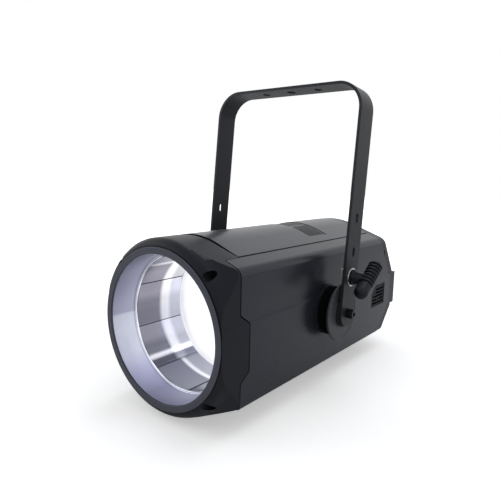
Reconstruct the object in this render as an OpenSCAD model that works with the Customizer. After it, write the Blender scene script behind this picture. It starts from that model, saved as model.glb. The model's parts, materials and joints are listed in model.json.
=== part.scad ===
// Follow spot: a lit theatre lantern head in a yoke, standing on its feet.
// The lamp axis runs along Y, the beam leaves towards -Y, and Z is up.
// The origin is on the surface under the feet, in the middle of the length.

/* [Front] */
// Radius of the clear aperture at the ring's face
aperture_r = 88.8; // [74:0.2:110]
// Width of the front ring's flat face
ring_face = 8.2; // [5:0.1:12]
// Thickness of the front ring's face
ring_t = 2; // [1.5:0.1:4]
// Depth of the skirt that seats the front ring
ring_skirt = 9; // [5:0.5:12]
// Radius at which the ring's seating bore lies outside the aperture
seat_step = 3.4; // [2.6:0.1:4]
// Depth over which the bezel rounds off beside the ring
bezel_round = 19; // [12:0.5:24]
// Depth of the bezel on the side walls above the band
bezel_side = 33; // [30:1:44]
// Depth of the bezel's tongue on the middle band
bezel_tongue = 48; // [44:1:60]
// Depth of the bezel on the top
bezel_top = 57; // [50:1:70]
// Angle of the bezel screws above the horizontal
ear_screw_deg = 45; // [42:0.5:50]
// Radius of a bezel screw's recess
ear_recess_r = 5.5; // [5:0.1:8]

/* [Case] */
// Length from the ring's face to the rear block's face
case_len = 463; // [380:1:560]
// Rise of the arched top over the edge of the ring
arch_rise = 10; // [8:0.5:16]
// How far the middle band stands out of the side walls
band_proud = 1.5; // [0.8:0.1:3]
// Top of the middle band's flat over the lamp axis
band_top = 16; // [14:0.5:24]
// Depth of the bezel tongue's lower end under the lamp axis
tongue_low = 49; // [42:1:54]
// Height of the slope from the band's flat up to the side walls
band_slope = 7.5; // [3:0.5:10]
// Rounding of the case's two upper corners
corner_r = 12; // [8:0.5:18]
// Rounding of the case's two lower corners
low_corner_r = 4; // [3.5:0.5:10]
// Direction of the upper shoulders' outward normal
shoulder_deg = 69; // [64:0.5:74]
// Direction of the lower shoulders' outward normal
low_deg = 70.5; // [64:0.5:74]
// Wall of the moulded case
wall = 2.6; // [2:0.1:4]
// Distance from the side wall in to the top cover's seam
seam_inset = 23.5; // [18:0.5:32]
// Height of the lamp axis over the surface
axis_h = 112; // [110:1:140]

/* [Rear] */
// Depth of the rear block behind the sloping rear faces
block_step = 13; // [6:0.5:20]
// Length of the rear cover's side band
rear_band = 17; // [12:0.5:24]
// Length of the rear block's sides
block_side = 22; // [18:0.5:30]
// How far the upper rear face leans forward up to the shoulder
upper_lean = 37; // [24:1:50]
// How far the lower rear face leans forward down to the corner
lower_lean = 33; // [20:1:44]
// Depth of the panel behind the block's rim
panel_recess = 5; // [4:0.5:8]
// Thickness of the control panel
panel_t = 2.5; // [2:0.1:4]
// Width of the block's rim around the control panel
rim_w = 5; // [4:0.5:8]

/* [Optics] */
// Length of the satin shade liner
liner_len = 37; // [28:1:44]
// How much the liner narrows towards the lip ring
liner_taper = 1.4; // [0.5:0.1:3]
// Sheet thickness of the liner, the barrel and the cone
sheet = 1.2; // [0.8:0.1:2]
// Length of the polished barrel
barrel_len = 75; // [60:1:84]
// How far the barrel lies inside the liner's rear edge
barrel_step = 2.4; // [1.6:0.1:4]
// Number of panels in the polished barrel
barrel_panels = 9; // [7:1:12]
// Length of the reflector cone
cone_len = 72; // [60:1:86]
// Radius of the lens
lens_r = 58; // [48:0.5:64]
// Thickness of the lens at its middle
lens_t = 14; // [10:0.5:18]
// Edge thickness of the lens
lens_edge = 4; // [3:0.5:6]
// Distance from the lens to the light source
throw_len = 34; // [28:1:40]
// Side of the light source's ceramic plate
cob_side = 38; // [30:1:44]
// Radius of the light source's glowing field
cob_glow_r = 15; // [10:0.5:18]

/* [Pivot] */
// Distance of the pivot behind the ring's face
pivot_y = 230; // [210:1:260]
// Depth of the pivot under the lamp axis
pivot_drop = 5; // [0:0.5:8]
// Radius of the black drum on the case
drum_r = 34; // [28:0.5:37]
// Thickness of the drum
drum_t = 16.5; // [12:0.5:24]
// Radius of the tilt disc
disc_r = 40; // [36:0.5:44]
// Thickness of the tilt disc
disc_t = 3.5; // [2.5:0.1:5]
// Radius of the friction pad
pad_r = 20; // [15:0.5:26]
// Thickness of the friction pad
pad_t = 3.1; // [2:0.1:5]
// Radius of the pivot screw's shank
pivot_bolt_r = 4; // [3:0.5:5]
// Radius of the pivot screw's head
pivot_head_r = 6.5; // [5:0.1:8]
// Height of the pivot screw's head
pivot_head_h = 9.5; // [6:0.5:12]

/* [Yoke] */
// Height from the pivot to the top of the bar
yoke_h = 311; // [280:1:380]
// Width of the steel strap
strap_w = 36; // [28:1:44]
// Thickness of the steel strap
strap_t = 4; // [3:0.5:6]
// Outer radius of the yoke's bends
bend_r = 38; // [20:1:60]
// Angle at which the yoke leans back
yoke_lean = 5.65; // [0:0.05:30]
// Distance from the bar's middle to its outer holes
bar_pitch = 45.5; // [30:0.5:60]
// Radius of the bar's middle hole
bar_mid_r = 6.5; // [5:0.1:7]
// Radius of the bar's outer holes
bar_side_r = 5.5; // [4:0.1:6.5]
// Heights of the arm slots over the pivot
slot_h = [84, 130]; // [70:1:180]
// Length of an arm slot
slot_len = 13; // [9:0.5:18]
// Width of an arm slot
slot_w = 6.4; // [5.5:0.1:8]

/* [Lever] */
// Height of the lever's axis over the pivot
lever_h = 50; // [47:0.5:60]
// Radius of the lever's stud
stud_r = 4; // [3:0.5:5]
// Radius of the steel washer
washer_r = 12.5; // [10:0.5:15]
// Thickness of the steel washer
washer_t = 2; // [1.5:0.1:3]
// Radius of the lever's hub
hub_r = 9; // [7:0.5:11]
// Distance from the arm to the middle of the grip
grip_out = 25; // [20:0.5:32]
// Radius of the grip
grip_r = 9.8; // [8:0.1:12]
// Length of the grip
grip_len = 62; // [50:1:80]
// Angle of the grip above the lamp axis
grip_deg = 36; // [0:1:80]
// Number of ribs on the grip
grip_ribs = 7; // [4:1:8]
// Width of the locking shoe
shoe_w = 16; // [12:0.5:20]
// Thickness of the locking shoe
shoe_t = 8; // [6:0.5:12]

/* [Vents] */
// Length of the top vent along the lamp
top_vent_len = 48; // [30:1:60]
// Distance of the top vent's front edge behind the ring's face
top_vent_y = 236; // [215:1:250]
// Half width of the top vent
top_vent_x = 56; // [40:1:62]
// Length of a side vent
side_vent_len = 49; // [30:1:54]
// Height of a side vent
side_vent_h = 35; // [24:1:44]
// Width of the bars between vent slots
vent_bar = 2.6; // [2:0.1:4]
// Width of the vent slots
vent_slot = 3; // [2:0.1:4]
// Depth at which the vents lie under the case's surface
vent_sink = 0.8; // [0.4:0.1:1.2]

/* [Cooling] */
// Side of the square fan
fan_side = 92; // [80:1:92]
// Depth of the fan
fan_t = 25; // [15:1:32]
// Number of fan blades
fan_blades = 7; // [5:1:9]
// Radius of the fan's shaft
fan_shaft_r = 2; // [1.5:0.1:3]
// Length of the heat sink's fins
fin_len = 50; // [40:1:60]
// Thickness of the heat sink's base
sink_base = 8; // [6:0.5:12]
// Number of fins
fin_count = 15; // [10:1:18]
// Thickness of a fin
fin_t = 1.6; // [1:0.1:2.4]

/* [Electronics] */
// Length of the LED driver
driver_len = 120; // [90:1:130]
// Width of the LED driver
driver_w = 70; // [50:1:80]
// Height of the LED driver
driver_h = 26; // [20:1:28]
// Width of the display window
display_w = 30; // [24:1:34]
// Height of the display window
display_h = 16; // [12:1:22]
// Radius of a menu button
button_r = 4; // [3:0.1:4.6]
// Pitch of the menu buttons
button_pitch = 10.6; // [10:0.1:12]
// How far a menu button stands out
button_out = 2; // [1.5:0.1:3]
// Travel of a menu button
button_travel = 0.8; // [0.5:0.1:1.2]
// Radius of the fuse holder
fuse_r = 4.8; // [4:0.1:6]
// Radius inside the power and data sockets
socket_r = 9.5; // [8:0.1:10.5]
// Depth of the sockets
socket_deep = 15; // [12:0.5:18]
// Side of a socket's flange
flange_side = 26; // [24:0.5:28]
// Thickness of a socket's flange
flange_t = 2; // [1.5:0.1:3]

/* [Feet and eye] */
// Radius of a rubber foot
foot_r = 9; // [7:0.5:12]
// Half distance between the feet across the lamp
foot_x = 36; // [30:1:48]
// Distance of the feet from both ends of the case shell
foot_y = 86; // [60:1:120]
// Radius of the hole in the safety eye
eye_hole_r = 7; // [5:0.5:9]
// Distance of the safety eye from the upper edge of the rear face
eye_inset = 10; // [8:0.5:16]
// Radius of the safety eye's wire
eye_wire_r = 2.5; // [2:0.1:3.5]

/* [Fits] */
// Gap between case pieces that meet
part_gap = 0.6; // [0.3:0.1:1]
// Gap between pieces that move past each other
move_gap = 0.3; // [0.3:0.05:0.6]
// Radial clearance of shafts that turn in bores
run_fit = 0.05; // [0.02:0.01:0.1]
// Radial clearance of parts that seat in each other
seat_fit = 0.15; // [0.05:0.05:0.3]
// Radial clearance of screws in plain holes
screw_clear = 0.4; // [0.2:0.1:0.8]

/* [Hidden] */
$fn = 64;
eps = 0.01;
far = 400;
arc_step = 3;
ring_r = aperture_r + ring_face;
band_x = ring_r;
side_x = band_x - band_proud;
arch_r = ring_r + arch_rise;
min_corner = 0.4;
shoulder_z = corner_at(side_x, corner_r, shoulder_deg, 0)[1] + 8;
seam_x = side_x - seam_inset;
seat_r = aperture_r + seat_step;
tongue_slant = 11;
tongue_top = band_top + band_slope + 5;
ring_bore_r = aperture_r + sheet + 0.1;
ring_edge = 0.8;
liner_y = 0.3;

frame_y = bezel_side + 1;
frame_t = 3;
frame_r = arch_r + 8;
ear_screw_r = arch_r - 3.4;
ear_seat_y = 21;
screw_r = 2.1;
screw_head_r = 4.2;
screw_head_h = 4;
boss_r = ear_recess_r + 2;
round_steps = 6;
round_sweep = 60.6;
round_reach = 1.15;
hex_r = 2;
hex_deep = 2.4;

liner_end_r = aperture_r - liner_taper;
lip_t = 1.6;
lip_y = liner_len;
barrel_y = lip_y + lip_t;
barrel_r = liner_end_r - barrel_step;
barrel_turn = 26;
barrel_rim = 1.5;
seam_w = 1;
cone_y = barrel_y + barrel_len;
lens_y = cone_y + cone_len;
lens_bulge = lens_t - lens_edge;
lens_curve_r = (lens_r * lens_r + lens_bulge * lens_bulge) / (2 * lens_bulge);
lens_ring_w = 6;
lens_lip = 3;
bulkhead_t = 3;
bulkhead_y = lens_y + lens_edge + 3;
cob_y = bulkhead_y + throw_len;
cob_plate_t = 3;
sink_y = cob_y + cob_plate_t;
cob_t = 2;
cup_flange = 6;
cup_t = 2;
fan_y = sink_y + sink_base + fin_len + 3;
sink_half = fan_side / 2 - 1;
fan_rim = 2.5;
fan_hub_r = 16;
spoke_t = 3;
spoke_w = 4;
blade_deg = 38;
blade_t = 1.6;

foot_bore_deep = 2;

pivot_z = -pivot_drop;
drum_edge = 2;
disc_edge = 0.6;
head_hex_r = 3.4;
head_hex_deep = 5.3;
shoe_len = 22;
shoe_under = 2;
disc_x = band_x + drum_t;
pad_x = disc_x + disc_t;
arm_x = pad_x + pad_t + move_gap;
yoke_x = arm_x + strap_t;
nut_plate_t = 4;
nut_plate_side = 2 * (band_top + pivot_drop - wall);
bolt_in = band_x - wall - nut_plate_t - 3;

block_y = case_len;
slope_y = block_y - block_step;
block_top = band_top;
upper_deg = atan2(upper_lean, shoulder_z - block_top - 7);
eye_s = (shoulder_z - block_top - 7) / cos(upper_deg) - eye_inset;
eye_flange_r = 6;
eye_flange_t = 1.5;
eye_stud_r = 2.8;
eye_stud_len = 9;
grille_half = side_x - 33.5;
grille_s = 11;
grille_h = eye_s - eye_flange_r - 5 - grille_s;
screw_x = side_x - 17.5;
screw_s = 14;
block_low = tongue_low - 10;
top_z = arch_r + 3;
rib_pitch = grip_len * 0.62 / grip_ribs;
rib_deep = 1.6;
grip_end = 3;
panel_y = block_y - panel_recess - panel_t;
panel_half = band_x - rim_w;
panel_z = (block_top - block_low) / 2;
panel_h = block_top + block_low - 2 * rim_w;
panel_gap = 1.2;
display_z = panel_z + 9;
button_z = panel_z - 13;
board_y = panel_y - 17;
board_t = 1.6;
socket_x = panel_half - flange_side / 2 - 1;
socket_pitch = flange_side + 2;
power_x = [socket_x, socket_x - socket_pitch];
data_x = [-power_x[1], -power_x[0]];
fuse_flange_r = fuse_r + 0.8;
fuse_x = -(display_w + panel_gap) / 2;
display_x = fuse_flange_r + panel_gap / 2;
pin_r = 1.2;
pin_len = 5;
flange_ear = 2;
flange_hole_r = 1.6;
socket_base = 2;
socket_wall = 1.8;
board_half = power_x[1] - socket_r - socket_wall - 2;
shell_end = slope_y - upper_lean - 8;
side_vent_end = block_y - 44;
side_vent_top = 3;
tray_z = -(arch_r - wall - 16);
tray_t = 1.5;
tray_rim = 5;
tray_y = bulkhead_y + bulkhead_t;
tray_end = shell_end - 24;
driver_y = tray_y + 60;
driver_grooves = 6;
driver_end = 12;
groove_w = 2;
groove_deep = 1;
board_edge = 0.5;
post_r = 2;
button_in = 1.8;
clip_deep = 1.6;
clip_w = 3;
clip_len = 12;
clip_z = 46;
ledge = 5;
ledge_t = 2;
ledge_end = slope_y - upper_lean - rear_band - 13;
vent_edge = 3;
vent_cut = 14;
dark = [0.2, 0.205, 0.215];
black = [0.07, 0.07, 0.075];
polished = [0.85, 0.85, 0.87];

// Moves a child from the lamp's own frame, with its zero at the ring's face, to the part's frame
module in_lamp() translate([0, -case_len / 2, axis_h]) children();

// Extrudes a shape drawn in X and Z along the lamp axis
module along_y(y0, y1) translate([0, y1, 0]) rotate([90, 0, 0]) linear_extrude(y1 - y0) children();

// Extrudes a shape drawn in Y and Z across the lamp
module across_x(x0, x1) translate([x0, 0, 0]) rotate([90, 0, 90]) linear_extrude(x1 - x0) children();

// Turns a profile of radius and depth about the lamp axis
module about_y() rotate([-90, 0, 0]) rotate_extrude($fn = 128) children();

// A cylinder along the lamp axis
module rod_y(y0, y1, r) translate([0, y1, 0]) rotate([90, 0, 0]) cylinder(h = y1 - y0, r = r);

// A cylinder across the lamp
module rod_x(x0, x1, r) translate([x0, 0, 0]) rotate([0, 90, 0]) cylinder(h = x1 - x0, r = r);

function arc_pts(cx, cz, r, a0, a1) =
    let (n = max(2, ceil(abs(a1 - a0) / arc_step)))
    [for (i = [0:n]) let (a = a0 + (a1 - a0) * i / n) [cx + r * cos(a), cz + r * sin(a)]];

// Centre and radius of a long corner, t inside the surface, between a side wall and a shoulder
function corner_at(side, r, deg, t) =
    let (q = max(r - t, min_corner), x = side - t - q)
    let (z = (arch_r - t - q - x * cos(deg)) / sin(deg)) [x, z, q];

// The case's outline seen along the lamp axis, drawn t inside the outer surface
module case_outline(t = 0) {
    up = corner_at(side_x, corner_r, shoulder_deg, t);
    low = corner_at(band_x, low_corner_r, low_deg, t);
    right = concat(arc_pts(0, 0, arch_r - t, -90, -low_deg), arc_pts(low[0], -low[1], low[2], -low_deg, 0),
        [[band_x - t, band_top - t / 2], [side_x - t, band_top + band_slope - t / 2]],
        arc_pts(up[0], up[1], up[2], 0, shoulder_deg), arc_pts(0, 0, arch_r - t, shoulder_deg, 90));
    polygon(concat(right, [for (i = [len(right) - 2:-1:1]) [-right[i][0], right[i][1]]]));
}

// The half width that is free inside the case at a depth z under the lamp axis
function inner_half(z) = (arch_r - wall - abs(z) * sin(low_deg)) / cos(low_deg);

// The bezel's share of the case, grown by g at its rear edges
module bezel_zone(g = 0) {
    translate([-far, -far, -far]) cube([2 * far, far + bezel_side + g, 2 * far]);
    translate([-seam_x - g, 0, 0]) cube([2 * (seam_x + g), bezel_top + g, far]);
    across_x(-far, far) polygon([[0, tongue_top + g], [bezel_side + g, tongue_top + g],
        [bezel_tongue + g, tongue_top - tongue_slant + g], [bezel_tongue + g, tongue_slant - tongue_low - g],
        [bezel_side + g, -tongue_low - g], [0, -tongue_low - g]]);
}

// The sloping rear of the case seen from the side, moved forward by d
module rear_profile(d = 0) polygon([[0, top_z], [slope_y - upper_lean - 9 - d, top_z],
    [slope_y - upper_lean - d, shoulder_z], [slope_y - d, block_top + 7],
    [slope_y - d, -block_low - 4], [slope_y - lower_lean - d, -shoulder_z],
    [slope_y - lower_lean - 13 - d, -top_z], [0, -top_z]]);

// The part of the case in front of the rear cover, grown by g
module shell_zone(g = 0) {
    across_x(-far, far) rear_profile(rear_band - g);
    translate([-far, 0, -block_low - g])
        cube([2 * far, block_y - block_side + g, block_low + block_top + 2 * g]);
}

module shell_wall(y0, y1, t0, t1) difference() {
    along_y(y0, y1) case_outline(t0);
    along_y(y0 - 1, y1 + 1) case_outline(t1);
}

// --- Front ---

function bezel_curve(d) = concat([[0, ring_t + d], [ring_r + 0.2, ring_t + d]],
    [for (i = [1:round_steps]) let (a = round_sweep * i / round_steps)
        [ring_r + round_reach * arch_rise * sin(a), ring_t + bezel_round * (1 - cos(a)) + d]],
    [[arch_r + 4, bezel_round + d], [arch_r + 19, bezel_side + 5 + d], [far, far / 3 + d], [0, far / 3 + d]]);

module ear_places() for (sx = [-1, 1], sz = [-1, 1])
    translate([sx * ear_screw_r * cos(ear_screw_deg), 0, sz * ear_screw_r * sin(ear_screw_deg)]) children();

module front_ring() color(dark) in_lamp() about_y() polygon([[ring_bore_r, 0],
    [ring_r - ring_edge, 0], [ring_r, ring_edge], [ring_r, ring_t - eps], [seat_r, ring_t - eps],
    [seat_r, ring_t + ring_skirt], [ring_bore_r, ring_t + ring_skirt]]);

module front_bezel() color(black) in_lamp() difference() {
    intersection() {
        along_y(ring_t, bezel_top) case_outline();
        about_y() polygon(bezel_curve(0));
        bezel_zone();
    }
    difference() {
        intersection() {
            along_y(ring_t + wall, bezel_top + 1) case_outline(wall);
            about_y() polygon(bezel_curve(4));
        }
        ear_places() rod_y(0, bezel_side, boss_r);
        rod_y(0, ring_t + ring_skirt + 2, seat_r + 3);
    }
    rod_y(0, bezel_top + 1, seat_r + seat_fit);
    ear_places() {
        rod_y(0, ear_seat_y, ear_recess_r);
        rod_y(0, bezel_side + 1, screw_r + screw_clear);
    }
}

module cap_screw(y, len) {
    difference() {
        rod_y(y - screw_head_h, y, screw_head_r);
        translate([0, y - screw_head_h + hex_deep, 0]) rotate([90, 0, 0])
            cylinder(h = screw_head_h, r = hex_r, $fn = 6);
    }
    rod_y(y - eps, y + len, screw_r);
}

module bezel_screws() color("dimgray") in_lamp()
    ear_places() cap_screw(ear_seat_y, frame_y - ear_seat_y + frame_t);

module front_frame() color("silver") in_lamp() difference() {
    intersection() {
        along_y(frame_y, frame_y + frame_t) case_outline(wall + part_gap);
        rod_y(0, far, frame_r);
    }
    rod_y(0, far, liner_end_r + sheet + liner_taper * frame_t / liner_len + 2 * seat_fit);
    ear_places() rod_y(0, far, screw_r + 0.02);
}

// --- Optics ---

module shade_liner() color([0.72, 0.72, 0.8]) in_lamp() about_y() polygon([[aperture_r, liner_y],
    [aperture_r + sheet, liner_y], [liner_end_r + sheet, liner_len], [liner_end_r, liner_len]]);

module lip_ring() color("white") in_lamp() about_y() polygon([[barrel_r, lip_y],
    [liner_end_r + sheet, lip_y], [liner_end_r + sheet, barrel_y], [barrel_r, barrel_y]]);

module reflector_barrel() color(polished) in_lamp() difference() {
    rod_y(barrel_y, cone_y, barrel_r + sheet);
    rod_y(barrel_y - 1, cone_y + 1, barrel_r);
    for (i = [0:barrel_panels - 1]) rotate([0, barrel_turn - (i + 0.5) * 360 / barrel_panels, 0])
        translate([barrel_r - 1, barrel_y + barrel_rim, -seam_w / 2])
        cube([1 + sheet / 3, barrel_len - 2 * barrel_rim, seam_w]);
}

module reflector_cone() color(polished) in_lamp() about_y() polygon([[barrel_r, cone_y],
    [barrel_r + sheet, cone_y], [lens_r + sheet, lens_y], [lens_r, lens_y]]);

module lens() color([0.9, 0.95, 1, 0.5]) in_lamp() about_y() intersection() {
    translate([0, lens_y - lens_bulge]) square([lens_r, lens_t]);
    translate([0, lens_y - lens_bulge + lens_curve_r]) circle(r = lens_curve_r, $fn = 180);
}

module lens_ring() color(black) in_lamp() difference() {
    rod_y(lens_y, bulkhead_y, lens_r + lens_ring_w);
    rod_y(lens_y - 1, bulkhead_y + 1, lens_r - lens_lip);
    rod_y(lens_y - 1, lens_y + lens_edge + 0.1, lens_r + seat_fit);
}

module bulkhead() color("silver") in_lamp() difference() {
    along_y(bulkhead_y, bulkhead_y + bulkhead_t) case_outline(wall + ledge_t + part_gap);
    rod_y(0, far, lens_r - lens_lip);
}

module source_cup() color("silver") in_lamp() about_y() {
    y0 = bulkhead_y + bulkhead_t;
    polygon([[lens_r - cup_flange, y0], [lens_r, y0], [lens_r, y0 + cup_t],
        [lens_r - cup_flange + cup_t, y0 + cup_t],
        [cob_glow_r + cup_t + 1, cob_y - seat_fit], [cob_glow_r + 1, cob_y - seat_fit]]);
}

module cob_plate() color("ivory") in_lamp() difference() {
    translate([-cob_side / 2, cob_y, -cob_side / 2]) cube([cob_side, cob_plate_t, cob_side]);
    rod_y(cob_y - 1, cob_y + cob_t, cob_glow_r);
}

module cob_glow() color("yellow") in_lamp() rod_y(cob_y + 0.2, cob_y + cob_t, cob_glow_r);

// --- Cooling and electronics ---

module heat_sink() color("gray") in_lamp() {
    pitch = (2 * sink_half - fin_t) / (fin_count - 1);
    translate([-sink_half, sink_y, -sink_half]) cube([2 * sink_half, sink_base, 2 * sink_half]);
    for (i = [0:fin_count - 1]) translate([-sink_half + i * pitch, sink_y + sink_base - eps, -sink_half])
        cube([fin_t, fin_len, 2 * sink_half]);
}

module fan_frame() color(black) in_lamp() {
    half = fan_side / 2;
    difference() {
        translate([-half, fan_y, -half]) cube([fan_side, fan_t, fan_side]);
        rod_y(fan_y - 1, fan_y + fan_t + 1, half - fan_rim);
        for (sx = [-1, 1], sz = [-1, 1]) translate([sx * (half - 5), 0, sz * (half - 5)])
            rod_y(fan_y - 1, fan_y + fan_t + 1, screw_r);
    }
    for (a = [45:90:360]) rotate([0, a, 0]) translate([0, fan_y + fan_t - spoke_t, -spoke_w / 2])
        cube([half - fan_rim + 1, spoke_t, spoke_w]);
    rod_y(fan_y + fan_t - spoke_t, fan_y + fan_t, fan_hub_r + 1);
    rod_y(fan_y + spoke_t, fan_y + fan_t - 2, fan_shaft_r);
}

module fan_rotor() color([0.15, 0.15, 0.16]) in_lamp() difference() {
    union() {
        rod_y(fan_y + 1, fan_y + fan_t - spoke_t - 1, fan_hub_r);
        intersection() {
            rod_y(fan_y + 2, fan_y + fan_t - spoke_t - 2, fan_side / 2 - fan_rim - 1.5);
            for (i = [0:fan_blades - 1]) rotate([0, i * 360 / fan_blades, 0])
                translate([fan_hub_r - 2, fan_y + fan_t / 2 - 2, 0]) rotate([blade_deg, 0, 0])
                translate([0, -blade_t / 2, -fan_t / 2]) cube([fan_side / 2, blade_t, fan_t]);
        }
    }
    rod_y(fan_y + 2, fan_y + fan_t, fan_shaft_r + run_fit);
}

module chassis_tray() color("silver") in_lamp() {
    half = inner_half(tray_z) - 4;
    translate([-half, tray_y, tray_z]) cube([2 * half, tray_end - tray_y, tray_t]);
    for (sx = [-1, 1]) translate([sx * half - tray_t / 2, tray_y, tray_z])
        cube([tray_t, tray_end - tray_y, tray_rim]);
}

module led_driver() color("gainsboro") in_lamp()
    translate([-driver_w / 2, driver_y, tray_z + tray_t]) difference() {
        cube([driver_w, driver_len, driver_h]);
        pitch = driver_w / (driver_grooves + 1);
        for (i = [1:driver_grooves]) translate([i * pitch - groove_w / 2, driver_end, driver_h - groove_deep])
            cube([groove_w, driver_len - 2 * driver_end, driver_h]);
    }

module control_board() color("darkgreen") in_lamp() {
    translate([-board_half, board_y, panel_z - panel_h / 2 + board_edge])
        cube([2 * board_half, board_t, panel_h - 2 * board_edge]);
    for (i = [-1.5:1:1.5]) translate([i * button_pitch, 0, button_z])
        rod_y(board_y + board_t, panel_y - button_in - 1.4, post_r);
    for (k = [-1, 1]) translate([k * (board_half - 2 * post_r), 0, panel_z + panel_h / 2 - 1.5 * post_r])
        rod_y(board_y + board_t, panel_y, post_r);
}

// --- Case ---

module body_shell() color(dark) in_lamp() difference() {
    union() {
        intersection() {
            shell_wall(bezel_side, block_y, 0, wall);
            shell_zone();
        }
        for (k = [-1, 1]) at_pivot(k) rod_x(band_x - wall, band_x, drum_r + drum_edge);
        for (sx = [-1, 1]) scale([sx, 1, 1]) intersection() {
            shell_wall(bezel_top + part_gap, ledge_end, wall, wall + ledge_t);
            translate([seam_x - ledge, 0, 0]) cube([2 * ledge, far * 2, far]);
        }
    }
    bezel_zone(part_gap);
    difference() {
        translate([-seam_x - part_gap / 2, 0, 0]) cube([2 * seam_x + part_gap, far * 2, far]);
        along_y(0, far * 2) case_outline(wall);
    }
    translate([-seam_x + ledge, 0, 0]) cube([2 * (seam_x - ledge), far * 2, far]);
    for (sx = [-1, 1]) scale([sx, 1, 1]) {
        side_vent_hole(band_x - wall - 2, band_x + 1, part_gap / 2);
        translate([0, pivot_y, pivot_z]) rod_x(band_x - 2 * wall, band_x + 1, pivot_bolt_r + screw_clear);
    }
    feet_places() cylinder(h = 40, r = 2.2, center = true);
}

module top_cover() color([0.27, 0.275, 0.29]) in_lamp() difference() {
    intersection() {
        shell_wall(bezel_top + part_gap, block_y, 0, wall);
        shell_zone();
        translate([-seam_x + part_gap / 2, 0, 0]) cube([2 * seam_x - part_gap, far * 2, far]);
    }
    translate([-top_vent_x, top_vent_y, 0]) cube([2 * top_vent_x, top_vent_len, far]);
}

module top_vent() color(black) in_lamp() {
    pitch = vent_bar + vent_slot;
    n = floor((top_vent_len - vent_edge) / pitch) - 1;
    slot = (2 * top_vent_x - 4 * vent_edge) / 3;
    difference() {
        intersection() {
            shell_wall(top_vent_y, top_vent_y + top_vent_len, vent_sink, wall - 0.4);
            translate([-top_vent_x + seat_fit, top_vent_y + seat_fit, 0])
                cube([2 * (top_vent_x - seat_fit), top_vent_len - 2 * seat_fit, far]);
        }
        for (i = [0:n - 1], j = [0:2]) translate([vent_edge - top_vent_x + j * (slot + vent_edge),
            top_vent_y + (top_vent_len - n * pitch + vent_bar) / 2 + i * pitch, 0])
            cube([slot, vent_slot, far]);
    }
}

// The outline of a side vent in Y and Z, grown by g
module side_vent_hole(x0, x1, g = 0) across_x(x0, x1) {
    y1 = side_vent_end + g;
    y0 = side_vent_end - side_vent_len - g;
    z1 = side_vent_top + g;
    z0 = side_vent_top - side_vent_h - g;
    polygon([[y0, z0], [y1, z0], [y1, z1], [y0 + vent_cut, z1], [y0, z1 - 12]]);
}

module side_vent(k) scale([k, 1, 1]) difference() {
    side_vent_hole(band_x - wall - 0.4, band_x - vent_sink);
    pitch = vent_bar + vent_slot;
    n = floor((side_vent_h - vent_edge) / pitch);
    for (i = [0:n - 1]) {
        start = i >= n - 2 ? vent_cut + vent_edge : vent_edge;
        translate([0, side_vent_end - side_vent_len + start,
            side_vent_top - side_vent_h + vent_edge + i * pitch])
            cube([far, side_vent_len - start - vent_edge, vent_slot]);
    }
}
module side_vent_left() color(black) in_lamp() side_vent(-1);
module side_vent_right() color(black) in_lamp() side_vent(1);

// --- Rear ---

module rear_solid(t, d) intersection() {
    along_y(shell_end - 40, block_y + 1) case_outline(t);
    union() {
        across_x(-far, far) rear_profile(d);
        translate([-far, 0, -block_low + d]) cube([2 * far, block_y - d, block_low + block_top - 2 * d]);
    }
}

// A place on the upper rear face: x across and s up the slope from the block
module on_upper_rear(x, s) translate([x, slope_y, block_top + 7]) rotate([upper_deg, 0, 0])
    translate([0, 0, s]) children();

module rear_cover() color(dark) in_lamp() difference() {
    rear_solid(0.5, 0);
    rear_solid(wall + 0.5, wall);
    shell_zone(part_gap);
    translate([-panel_half, panel_y, -block_low + rim_w]) cube([2 * panel_half, far, panel_h]);
    on_upper_rear(-grille_half - seat_fit, grille_s - seat_fit) translate([0, -10, 0])
        cube([2 * (grille_half + seat_fit), 20, grille_h + 2 * seat_fit]);
    rear_screw_places() rod_y(-20, 20, screw_r + screw_clear);
    on_upper_rear(0, eye_s) rod_y(-20, 20, eye_stud_r + 0.2);
    for (sx = [-1, 1]) scale([sx, 1, 1]) translate([side_x - clip_deep, slope_y - upper_lean + 1, clip_z])
        cube([far, clip_w, clip_len]);
}

module rear_grille() color(black) in_lamp() on_upper_rear(-grille_half, grille_s) difference() {
    slot = (2 * grille_half - 4 * vent_edge) / 3;
    translate([0, -wall, 0]) cube([2 * grille_half, wall - vent_sink, grille_h]);
    rows = floor((grille_h - 2 * vent_edge) / (vent_slot + vent_bar));
    for (i = [0:rows - 1], j = [0:2]) translate([vent_edge + j * (slot + vent_edge), -wall - 1,
        vent_edge + 1 + i * (vent_slot + vent_bar)]) cube([slot, wall + 2, vent_slot]);
}

module rear_screw_places() for (sx = [-1, 1]) {
    on_upper_rear(sx * screw_x, screw_s) children();
    translate([sx * screw_x, slope_y - lower_lean / 2, -(block_low + 4 + shoulder_z) / 2])
        rotate([-atan2(lower_lean, shoulder_z - block_low - 4), 0, 0]) children();
}

module rear_screws() color("dimgray") in_lamp() rear_screw_places() mirror([0, 1, 0]) cap_screw(0, 9);

module panel_cut(x, z, r) translate([x, 0, z]) rod_y(0, 2 * far, r);

module control_panel() color([0.12, 0.12, 0.125]) in_lamp() difference() {
    translate([-panel_half + 0.2, panel_y, -block_low + rim_w + 0.2])
        cube([2 * panel_half - 0.4, panel_t, panel_h - 0.4]);
    translate([display_x - display_w / 2, 0, display_z - display_h / 2])
        cube([display_w, 2 * far, display_h]);
    for (i = [-1.5:1:1.5]) panel_cut(i * button_pitch, button_z, button_r + move_gap);
    for (x = concat(power_x, data_x)) panel_cut(x, panel_z, socket_r + 2);
    panel_cut(fuse_x, display_z, fuse_r + 0.2);
}

module display_window() color([0.1, 0.2, 0.3]) in_lamp() {
    translate([display_x - display_w / 2 + seat_fit, panel_y + 0.8, display_z - display_h / 2 + seat_fit])
        cube([display_w - 2 * seat_fit, panel_t - 0.4, display_h - 2 * seat_fit]);
}

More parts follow.
